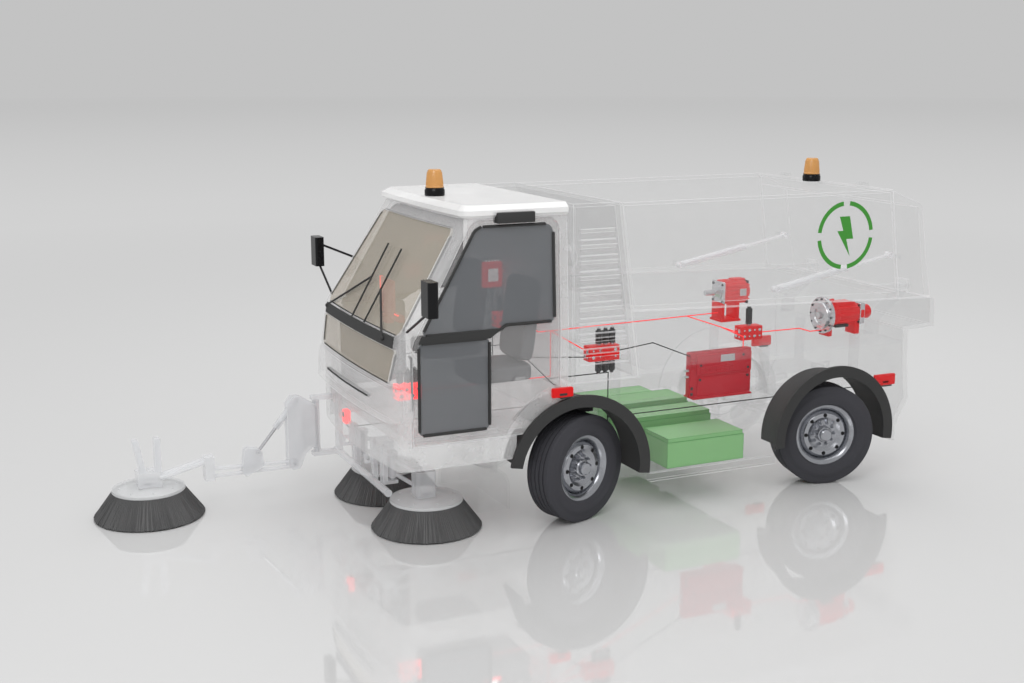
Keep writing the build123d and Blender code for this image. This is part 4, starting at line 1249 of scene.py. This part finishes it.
# boxes of the next tables: lowest corner, highest corner, edge radius; those of the fan and the pump start at
# the middle of the shaft's flange
FAN_CASE = (
    ((-0.240, -0.045, 0.080), (-0.120, 0.045, 0.111), 0.008),
    ((-0.172, -0.090, -0.250), (0.028, 0.090, -0.230), 0.003),
    ((-0.162, -0.080, -0.232), (-0.132, 0.080, -0.086), 0.004),
    ((-0.012, -0.080, -0.232), (0.018, 0.080, -0.086), 0.004),
)
FAN_STRAPS = (
    ((-0.236, -0.080, -0.100), (-0.225, 0.100, -0.075), 0.003),
    ((-0.236, -0.080, 0.075), (-0.225, 0.100, 0.100), 0.003),
)
PUMP_CASE = (
    ((-0.240, -0.055, 0.070), (-0.060, 0.055, 0.104), 0.008),
    ((-0.330, 0.080, -0.032), (-0.300, 0.092, 0.032), 0.004),
    ((-0.035, -0.060, -0.170), (0.005, 0.060, -0.070), 0.004),
    ((-0.310, -0.060, -0.170), (-0.260, 0.060, -0.070), 0.004),
)
TERMINAL_LID = (((0.130, -0.202, 1.612), (0.277, -0.180, 1.790), 0.006),)
TERMINAL_LABEL = (((0.165, -0.181, 1.650), (0.250, -0.1785, 1.750), 0.002),)
DISPLAY_PARTS = (
    ((0.185, -0.225, 1.586), (0.225, -0.200, 1.602), 0.003),
    ((1.102, -0.060, 1.440), (1.162, 0.060, 1.500), 0.006),
    ((1.117, -0.136, 1.500), (1.134, 0.140, 1.760), 0.004),
    ((1.080, 0.050, 1.470), (1.130, 0.230, 1.520), 0.008),
)
DISPLAY_EDGES = (
    ((1.115, -0.146, 1.498), (1.137, -0.132, 1.762), 0.003),
    ((1.120, 0.060, 1.515), (1.132, 0.220, 1.524), 0.002),
)
# outlines spun about the shaft: radius, distance along it
FAN_SHAFT = (
    (0, 0), (0.070, 0), (0.070, 0.012), (0.045, 0.022), (0.034, 0.036), (0.026, 0.040), (0.023, 0.130),
    (0, 0.132),
)
PUMP_BELL = (
    (0, 0.030), (0.028, 0.034), (0.032, 0.014), (0.060, 0.012), (0.066, 0.020), (0.104, 0.020),
    (0.110, 0.012),
    (0.110, 0.0), (0.148, 0.0), (0.150, -0.004), (0.150, -0.026), (0.120, -0.030), (0.112, -0.044),
    (0, -0.044),
)
# barrels of the pump: start and end along the shaft, radius at each, edge radius
PUMP_BARRELS = ((-0.006, -0.100, 0.100, 0.088, 0.006), (-0.100, -0.290, 0.088, 0.088, 0.006))
PUMP_PIPE = ((-0.020, 0.030, 0.080), (-0.020, 0.030, 0.120), (-0.070, 0.010, 0.120))


@dataclass
class Drive:
    """Red hydraulic and electric components with their fittings; the red finishes carry a painted glow."""

    fan: Point = (-2.028, -0.45, 1.370)
    pump: Point = (-2.458, 0.45, 1.290)
    inverter_face: float = 0.520
    lug: tuple[Point, Point] = ((-0.268, 0.780, 1.200), (-0.218, 0.845, 1.270))
    stand: tuple[Point, Point] = ((1.152, 0.530, 0.765), (1.232, 0.570, 0.995))
    nose_sensor: tuple[Point, Point] = ((1.337, -0.370, 0.620), (1.382, -0.290, 0.725))
    nose_eye: tuple[Point, Point] = ((1.380, -0.330, 0.690), (1.386, -0.330, 0.690))
    display_way: Sequence[Point] = (
        (1.102, 0.0, 1.470), (1.030, 0.0, 1.440), (1.020, 0.0, 1.190), (0.140, 0.0, 1.190),
        (0.140, 0.855, 1.005),
    )
    cable_radius: float = 0.004

    def build(self) -> None:
        """Make the components."""
        self.valves()
        self.fan_motor()
        self.pump_set()
        self.inverter()
        self.sensors()
        self.terminals()
        # The hydraulic lines carry a painted glow in their red.
        dress_node("hydraulic_lines", LINE_RED)
        dress_node("cable_harness", CABLE)

    def valves(self) -> None:
        """Four valve blocks with black solenoids and bright plugs."""
        strong_glow, red, black, silver = Form(), Form(), Form(), Form()
        for valve in VALVES:
            valve.build(strong_glow if valve.behind_glass else red, black, silver)
        # Castings behind the cab glass: strongest painted glow.
        strong_glow.finish("cab_valve_castings", STRONG_GLOW_RED, "machine", ["valve_blocks"])
        red.block(*self.lug, 0.003)
        red.finish("valve_castings", BRIGHT_GLOW_RED, "machine", ["valve_blocks"])
        single_block("valve_stand", *self.stand, GHOST_STEEL, 0.003)
        black.finish("valve_solenoids", BLACK, "machine")
        silver.finish("valve_plugs", BRIGHT, "machine")

    @staticmethod
    def corner_bolts(form: Form, low: Point, reach: float, length: float) -> None:
        """Four bolt heads at the corners of a square flange.

        Args:
            form: the mesh.
            low: middle of the flange at the foot of the heads.
            reach: distance of a bolt from the middle, along Y and Z.
            length: height of a head.
        """
        x, y, z = low
        for dy in (-reach, reach):
            for dz in (-reach, reach):
                form.rod((x, y + dy, z + dz), (x + length, y + dy, z + dz), 0.010, sides=6)

    def fan_motor(self) -> None:
        """Electric fan motor: square flange with bolts, stub shaft, ribbed case and terminal box."""
        x, y, z = self.fan
        red, silver, black = Form(), Form(), Form()
        red.block((x - 0.255, y - 0.088, z - 0.088), (x - 0.005, y + 0.088, z + 0.088), 0.026, 4)
        for rib in (-0.060, -0.030, 0.0, 0.030, 0.060):
            red.block((x - 0.250, y - 0.097, z + rib - 0.006), (x - 0.020, y + 0.097, z + rib + 0.006), 0.003)
            red.block((x - 0.250, y + rib - 0.006, z - 0.097), (x - 0.020, y + rib + 0.006, z + 0.097), 0.003)
        red.blocks(self.fan, FAN_CASE)
        red.rod((x - 0.255, y, z), (x - 0.280, y, z), 0.080, 0.062, sides=36, bevel=0.006)
        silver.block((x - 0.006, y - 0.095, z - 0.095), (x + 0.012, y + 0.095, z + 0.095), 0.010)
        silver.lathe(FAN_SHAFT, (x + 0.010, y, z), (1, 0, 0), 36, closed=False)
        self.corner_bolts(black, (x + 0.010, y, z), 0.072, 0.008)
        black.blocks(self.fan, FAN_STRAPS)
        red.finish("fan_motor_case", BRIGHT_GLOW_RED, "machine", ["fan_motor"])
        silver.finish("fan_motor_flange", BRIGHT, "machine")
        black.finish("fan_motor_bolts", BLACK, "machine")
        single_block(
            "fan_motor_plate", (x - 0.215, y + 0.0965, z - 0.030), (x - 0.150, y + 0.0995, z + 0.030), LABEL,
        )

    def pump_set(self) -> None:
        """Hydraulic pump: round bright bell housing, cast body with ribs and a square rear cover."""
        x, y, z = self.pump
        red, silver, black = Form(), Form(), Form()
        silver.lathe(PUMP_BELL, (x + 0.036, y, z), (1, 0, 0), 60, closed=False)
        silver.around(12, (x + 0.036, y, z), (1, 0, 0), 0.132,
                      lambda spot, out: black.rod(spot, spot + Vector((0.008, 0, 0)), 0.008, sides=6))
        for angle in (30, 150, 270):
            out = Vector((0, math.cos(math.radians(angle)), math.sin(math.radians(angle)))) * 0.118
            start, end = (Vector((x + along, y, z)) + out for along in (-0.004, 0.022))
            red.rod(start, end, 0.030, sides=20, bevel=0.004)
        for start, end, radius, end_radius, bevel in PUMP_BARRELS:
            red.rod((x + start, y, z), (x + end, y, z), radius, end_radius, 40, bevel)
        red.rod((x - 0.340, y, z), (x - 0.430, y, z), 0.058, sides=32, bevel=0.008)
        red.around(10, (x - 0.150, y, z), (1, 0, 0), 0.090, lambda spot, out: red.block(
            spot - Vector((0.125, 0.008, 0.008)), spot + Vector((0.125, 0.008, 0.008)), 0.003))
        red.blocks(self.pump, PUMP_CASE)
        red.tube([Vector(self.pump) + Vector(bend) for bend in PUMP_PIPE], 0.012, 10)
        silver.block((x - 0.340, y - 0.085, z - 0.085), (x - 0.290, y + 0.085, z + 0.085), 0.006)
        self.corner_bolts(black, (x - 0.292, y, z), 0.068, 0.008)
        black.block((x - 0.200, y - 0.050, z - 0.104), (x - 0.070, y + 0.060, z - 0.080), 0.004)
        red.finish("pump_body", BRIGHT_GLOW_RED, "machine", ["hydraulic_pump"])
        silver.finish("pump_housing", BRIGHT, "machine")
        black.finish("pump_bolts", BLACK, "machine")

    def inverter(self) -> None:
        """Inverter: cast housing with a raised panel, ribs, cable glands and a blank plate."""
        low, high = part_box("inverter")
        face = self.inverter_face
        red, black, silver = Form(), Form(), Form()
        red.block((low.x, 0.432, 0.735), (high.x, face - 0.020, high.z), 0.010)
        red.block((low.x + 0.010, 0.50, 0.915), (high.x - 0.050, face, high.z - 0.020), 0.008)
        red.block((low.x + 0.010, 0.50, 0.745), (high.x - 0.060, face - 0.006, 0.895), 0.008)
        red.block((low.x + 0.015, 0.400, 0.730), (high.x - 0.010, 0.540, 0.745), 0.003)
        for index in range(4):
            z = high.z - 0.050 - 0.028 * index
            red.block((high.x - 0.048, 0.490, z), (high.x - 0.004, 0.512, z + 0.012), 0.003)
        for index in range(5):
            x = low.x + 0.050 + 0.105 * index
            red.block((x, 0.445, high.z - 0.004), (x + 0.070, 0.490, high.z), 0.002)
        slot_low, slot_high = (low.x + 0.190, face - 0.004, 0.930), (high.x - 0.085, face + 0.001, 0.975)
        (left, _, foot), (right, _, head) = slot_low, slot_high
        corners = ((left, foot), (right, foot), (right, head), (left, head))
        red.tube([(x, face, z) for x, z in corners], 0.006, 8, closed=True)
        for index in range(7):
            x = slot_low[0] + 0.018 + 0.040 * index
            red.block(
                (x, face - 0.002, slot_low[2] + 0.008), (x + 0.012, face + 0.004, slot_high[2] - 0.008),
                0.002,
            )
        screws = [(low.x + 0.09, high.z - 0.045), (low.x + 0.045, 0.945), (low.x + 0.045, 0.880)]
        for x, z in (*screws, (high.x - 0.08, 0.880), (high.x - 0.085, 0.995)):
            black.rod((x, face - 0.010, z), (x, face + 0.004, z), 0.010, sides=12)
        for z in (0.955, 0.905):
            silver.rod((high.x - 0.012, 0.478, z), (high.x + 0.035, 0.478, z), 0.011, sides=16, bevel=0.002)
        for z in (0.800, 0.755):
            black.block((high.x - 0.030, 0.480, z), (high.x - 0.008, 0.503, z + 0.024), 0.003)
        silver.finish("inverter_glands", BRIGHT, "machine")
        red.finish("inverter_case", RED, "machine", ["inverter"])
        black.finish("inverter_screws", BLACK, "machine")
        single_block(
            "inverter_plate", (low.x + 0.170, face, 1.010), (low.x + 0.300, face + 0.002, 1.065), LABEL,
        )

    def sensors(self) -> None:
        """Five corner sensors with rounded cases, plates and connectors."""
        red, strong_glow, black = Form(), Form(), Form()
        for side in Side:
            y = side.value
            # columns: x, z, length, height, y of the outer face
            for x, z, wide, tall, face in (
                (0.1445, 1.007, 0.165, 0.070, 0.905), (-2.768, 0.805, 0.200, 0.090, 0.867),
            ):
                inner = face - 0.037
                ys = sorted((y * inner, y * face))
                red.block((x - wide / 2, ys[0], z - tall / 2), (x + wide / 2, ys[1], z + tall / 2), 0.010, 3)
                ys = sorted((y * (face - 0.004), y * (face + 0.002 if face > 0.9 else face)))
                black.block((x - 0.030, ys[0], z - tall * 0.30), (x + 0.030, ys[1], z - tall * 0.05), 0.002)
                black.block((x - wide * 0.35, min(y * inner, y * (face - 0.006)), z - tall / 2 - 0.012),
                            (x + wide * 0.1, max(y * inner, y * (face - 0.006)), z - tall / 2 + 0.004), 0.003)
        strong_glow.block(*self.nose_sensor, 0.008, 3)
        black.rod(*self.nose_eye, 0.022, sides=24)
        red.finish("sensor_cases", BRIGHT_GLOW_RED, "machine", ["corner_sensors"])
        # The nose sensor case carries a strong painted glow.
        strong_glow.finish("nose_sensor_case", STRONG_GLOW_RED, "machine")
        black.finish("sensor_connectors", BLACK, "machine")

    def terminals(self) -> None:
        """Control terminal on the rear wall and the driver's display with its remote."""
        red, white, panel, edge = Form(), Form(), Form(), Form()
        red.block((0.125, -0.240, 1.600), (0.282, -0.200, 1.800), 0.010, 3)
        for form, rows in (
            (red, TERMINAL_LID), (white, TERMINAL_LABEL), (panel, DISPLAY_PARTS), (edge, DISPLAY_EDGES),
        ):
            form.blocks((0, 0, 0), rows)
        for index in range(5):
            x = 0.150 + 0.025 * index
            white.rod((x, -0.215, 1.798), (x, -0.215, 1.812), 0.006, sides=10)
        # Terminal, label, display edge and display case carry painted glow.
        red.finish("terminal_case", STRONG_GLOW_RED, "machine", ["operator_terminals"])
        white.finish("terminal_label", GLOW_LABEL, "machine")
        edge.finish("display_edge", STRONG_GLOW_RED, "machine")
        panel.finish("display_case", DISPLAY, "machine")
        cord = Form()
        cord.tube(self.display_way, self.cable_radius, 8)
        cord.finish("display_cable", CABLE, "machine")


@dataclass
class Inside:
    """Padded seats, dashboard and gate cylinders."""

    seat_y: float = 0.460
    base_x: float = 0.497
    base_z: float = 1.120
    base_size: Point = (0.470, 0.440, 0.120)
    back_x: float = 0.2795
    back_z: float = 1.490
    back_size: Point = (0.110, 0.420, 0.600)
    back_lean: float = -0.135
    pedestal_y: float = 0.355
    pedestal_half: float = 0.115
    pedestal_x: tuple[float, float] = (0.352, 0.632)
    pedestal_z: tuple[float, float] = (0.765, 1.062)
    cuts: int = 7

    def build(self) -> None:
        """Dress the inside of the cab and the cylinders."""
        for side in Side:
            y = self.seat_y * side.value
            self.cushion(f"seat_base_{side.word}", (self.base_x, y, self.base_z), self.base_size, 0.0)
            self.cushion(
                f"seat_back_{side.word}", (self.back_x, y, self.back_z), self.back_size, self.back_lean,
            )
        form, half = Form(), self.pedestal_half
        for side in Side:
            y = self.pedestal_y * side.value
            low, high = zip(self.pedestal_x, (y - half, y + half), self.pedestal_z)
            form.block(low, high, 0.010)
        form.finish("seat_pedestals", GHOST_STEEL, "machine", ["seats"])
        dress_node("dashboard", GHOST_STEEL)
        for part in ("barrels", "rods"):
            dress_node(f"gate_cylinder_{part}", CLEAR_ROD)

    def cushion(self, name: str, centre: Point, size: Point, lean: float) -> None:
        """One cushion with rounded, slightly swollen faces.

        Args:
            name: the piece's name.
            centre: its middle.
            size: its length, width and height.
            lean: turn about Y in radians.
        """
        part = bmesh.new()
        bmesh.ops.create_cube(part, size=1.0)
        bmesh.ops.subdivide_edges(part, edges=part.edges, cuts=self.cuts, use_grid_fill=True)
        for vert in part.verts:
            x, y, z = (2 * value for value in vert.co)
            swell = 1 + 0.05 * (1 - x * x) * (1 - y * y) * (1 - z * z)
            round_off = 1 - 0.045 * (x ** 6 + y ** 6 + z ** 6 - 1)
            seam = 1 - 0.02 * (abs(y) > 0.55)
            vert.co = Vector(
                (vert.co.x * size[0], vert.co.y * size[1], vert.co.z * size[2])
            ) * swell * round_off * seam
        form = Form()
        form.join(part, Matrix.Translation(Vector(centre)) @ Matrix.Rotation(lean, 4, "Y"))
        made = form.finish(name, CLOTH, "machine")
        soft = made.modifiers.new("soft", "SUBSURF")
        soft.levels = soft.render_levels = 1


@dataclass
class Emblem:
    """Generic broken ring and flash on the left side of the hopper."""

    centre: Point = (-2.272, 2.000)
    ring: float = 0.262
    stroke: float = 0.034
    height: float = 0.0012
    arcs: int = 4
    steps: int = 14
    gap: float = 0.12

    def build(self) -> None:
        """Make the emblem on the left side."""
        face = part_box("hopper_shell")[1].y
        form = Form()
        spot = Vector((self.centre[0], face, self.centre[1]))
        push = Vector((0, self.height, 0))
        self.broken_ring(form, spot, push)
        flash = [
            (-0.035, 0.145), (0.060, 0.145), (0.022, 0.035), (0.078, 0.035), (-0.050, -0.165),
            (-0.010, -0.030), (-0.075, -0.030),
        ]
        form.plate([spot + Vector((x, 0, z)) for x, z in flash], push)
        form.finish("hopper_emblem", ICON_GREEN, "hopper")

    def broken_ring(self, form: Form, spot: Vector, push: Vector) -> None:
        """Ring drawn as arcs with gaps.

        Args:
            form: the mesh.
            spot: centre of the ring on the panel.
            push: thickness and its way.
        """
        for arc in range(self.arcs):
            start, stop = (
                FULL_TURN * (arc + end) / self.arcs + shift for end, shift in ((0, self.gap), (1, -self.gap))
            )
            outer, inner = [], []
            for step in range(self.steps + 1):
                angle = start + (stop - start) * step / self.steps
                way = Vector((math.cos(angle), 0, math.sin(angle)))
                outer.append(spot + way * self.ring)
                inner.append(spot + way * (self.ring - self.stroke))
            form.plate([*outer, *reversed(inner)], push)


@dataclass
class Studio:
    """Floor, backdrop, lamps and camera."""

    eye: Point = (4.2954, 9.0988, 3.2807)
    heading: float = 245.41
    dip: float = 11.71
    lens: float = 46.95
    floor_half: float = 900.0
    # Floor colours by distance are painted light and shade: darker near the machine, lighter further out,
    # then the far colour.
    near_floor: Colour = (0.70, 0.70, 0.70)
    middle_floor: Colour = (0.84, 0.84, 0.84)
    far_floor: Colour = (0.565, 0.565, 0.565)
    floor_top: float = -0.002
    middle_range: tuple[float, float] = (4.0, 20.0)
    haze_range: tuple[float, float] = (24.0, 140.0)
    polish: float = 0.30
    polish_roughness: float = 0.04
    backdrop: Colour = (0.545, 0.545, 0.545)
    daylight: float = 0.85
    sensor: float = 36.0
    sight: float = 300.0
    clear_bounces: int = 48

    def build(self) -> None:
        """Set up everything that isn't part of the machine."""
        self.floor()
        self.world()
        self.lamps()
        self.camera()
        bpy.context.scene.view_settings.view_transform = "Standard"

    def floor(self) -> None:
        """Pale polished floor with painted light and shade: darker near the machine, lighter further out, and
        far away a painted glow in the backdrop's colour takes over.
        """
        form, half, top = Form(), self.floor_half, self.floor_top
        form.plate(
            [(x * half, y * half, top) for x, y in ((-1, -1), (1, -1), (1, 1), (-1, 1))], (0, 0, -0.01)
        )
        graph = Graph("studio_floor")
        distance = graph.node(
            "ShaderNodeVectorMath", {"operation": "LENGTH"}, {0: graph.place()}, output="Value",
        )
        middle_ground, background = (
            graph.node("ShaderNodeMapRange", inputs={"Value": distance, "From Min": near, "From Max": far})
            for near, far in (self.middle_range, self.haze_range)
        )
        # Floor colour by distance: painted shade near the machine, painted light further out.
        near = graph.blend(middle_ground, self.near_floor, self.middle_floor)
        graph.surface(
            Base_Color=graph.blend(background, near, self.far_floor), Roughness=1.0, Specular_IOR_Level=0.0,
        )
        new = graph.tree.nodes.new
        # The emission in the backdrop's colour is a painted glow that takes over the floor far away.
        polish, backdrop_glow = new("ShaderNodeBsdfGlossy"), new("ShaderNodeEmission")
        polish.inputs["Roughness"].default_value = self.polish_roughness
        backdrop_glow.inputs["Color"].default_value = (*self.backdrop, 1)
        mix, fade = new("ShaderNodeMixShader"), new("ShaderNodeMixShader")
        mix.inputs[0].default_value = self.polish
        connect(
            graph.tree,
            (graph.shader.outputs[0], mix.inputs[1]),
            (polish.outputs[0], mix.inputs[2]),
            (background.socket, fade.inputs[0]),
            (mix.outputs[0], fade.inputs[1]),
            (backdrop_glow.outputs[0], fade.inputs[2]),
            (fade.outputs[0], graph.output.inputs["Surface"]),
        )
        data = bpy.data.meshes.new("studio_floor")
        bmesh.ops.recalc_face_normals(form.mesh, faces=form.mesh.faces)
        form.mesh.to_mesh(data)
        form.mesh.free()
        data.materials.append(graph.material)
        made = bpy.data.objects.new("studio_floor", data)
        bpy.context.scene.collection.objects.link(made)

    def world(self) -> None:
        """Even surroundings; what the camera and gloss see is greyer than what lights the machine."""
        world = bpy.data.worlds.new("studio_world")
        bpy.context.scene.world = world
        world.use_nodes = True
        tree = world.node_tree
        tree.nodes.clear()
        path, either, mix, output = (
            tree.nodes.new(f"ShaderNode{kind}") for kind in ("LightPath", "Math", "MixShader", "OutputWorld")
        )
        either.operation = "MAXIMUM"
        connect(
            tree,
            (path.outputs["Is Camera Ray"], either.inputs[0]),
            (path.outputs["Is Glossy Ray"], either.inputs[1]),
            (either.outputs[0], mix.inputs[0]),
            (mix.outputs[0], output.inputs["Surface"]),
        )
        for slot, colour, strength in ((1, (1.0, 1.0, 1.0), self.daylight), (2, self.backdrop, 1.0)):
            light = tree.nodes.new("ShaderNodeBackground")
            light.inputs["Color"].default_value = (*colour, 1)
            light.inputs["Strength"].default_value = strength
            connect(tree, (light.outputs[0], mix.inputs[slot]))

    def lamps(self) -> None:
        """Large soft lamps above and beside the machine."""
        # columns: name, place, what it looks at, size, power
        for name, place, target, size, power in (
            ("key_lamp", (5.0, 6.5, 8.0), (0, 0, 1.0), 5.0, 260.0),
            ("top_lamp", (-1.0, 0.0, 9.0), (-1.0, 0, 0), 7.0, 180.0),
            ("rim_lamp", (-4.0, -5.0, 9.5), (-0.5, 0, 1.2), 4.0, 140.0),
        ):
            data = bpy.data.lights.new(name, "AREA")
            data.size, data.energy = size, power
            lamp = bpy.data.objects.new(name, data)
            lamp.location = place
            lamp.rotation_euler = (Vector(target) - Vector(place)).to_track_quat("-Z", "Y").to_euler()
            bpy.context.scene.collection.objects.link(lamp)

    def camera(self) -> None:
        """Camera at the photograph's viewing angle."""
        yaw, pitch = math.radians(self.heading), math.radians(self.dip)
        forward = Vector((math.cos(yaw) * math.cos(pitch), math.sin(yaw) * math.cos(pitch), -math.sin(pitch)))
        data = bpy.data.cameras.new("camera")
        data.lens, data.sensor_width = self.lens, self.sensor
        data.clip_end = self.sight
        camera = bpy.data.objects.new("camera", data)
        camera.location = self.eye
        camera.rotation_euler = forward.to_track_quat("-Z", "Y").to_euler()
        bpy.context.scene.collection.objects.link(camera)
        bpy.context.scene.camera = camera
        bpy.context.scene.cycles.transparent_max_bounces = self.clear_bounces


def main() -> None:
    """Build every part of the machine in order, then the studio."""
    logging.basicConfig(level=logging.INFO, format="%(message)s")
    parts: list = [Bodywork(), Glazing()]
    parts += [RoadWheel(end, side) for end in End for side in Side]
    parts += [RotaryBrush("front_brush", "front_broom")]
    parts += [RotaryBrush(f"side_brush_{side.word}", f"{side.word}_side_broom") for side in Side]
    parts += [Beacon("cab_beacon", "machine"), Beacon("hopper_beacon", "hopper")]
    parts += [Trims(), Mirrors(), Arches(), Batteries(), FrontArm(), Drive(), Inside(), Emblem(), Studio()]
    for part in parts:
        LOG.info("building %s", type(part).__name__)
        part.build()


if __name__ == "__main__":
    main()
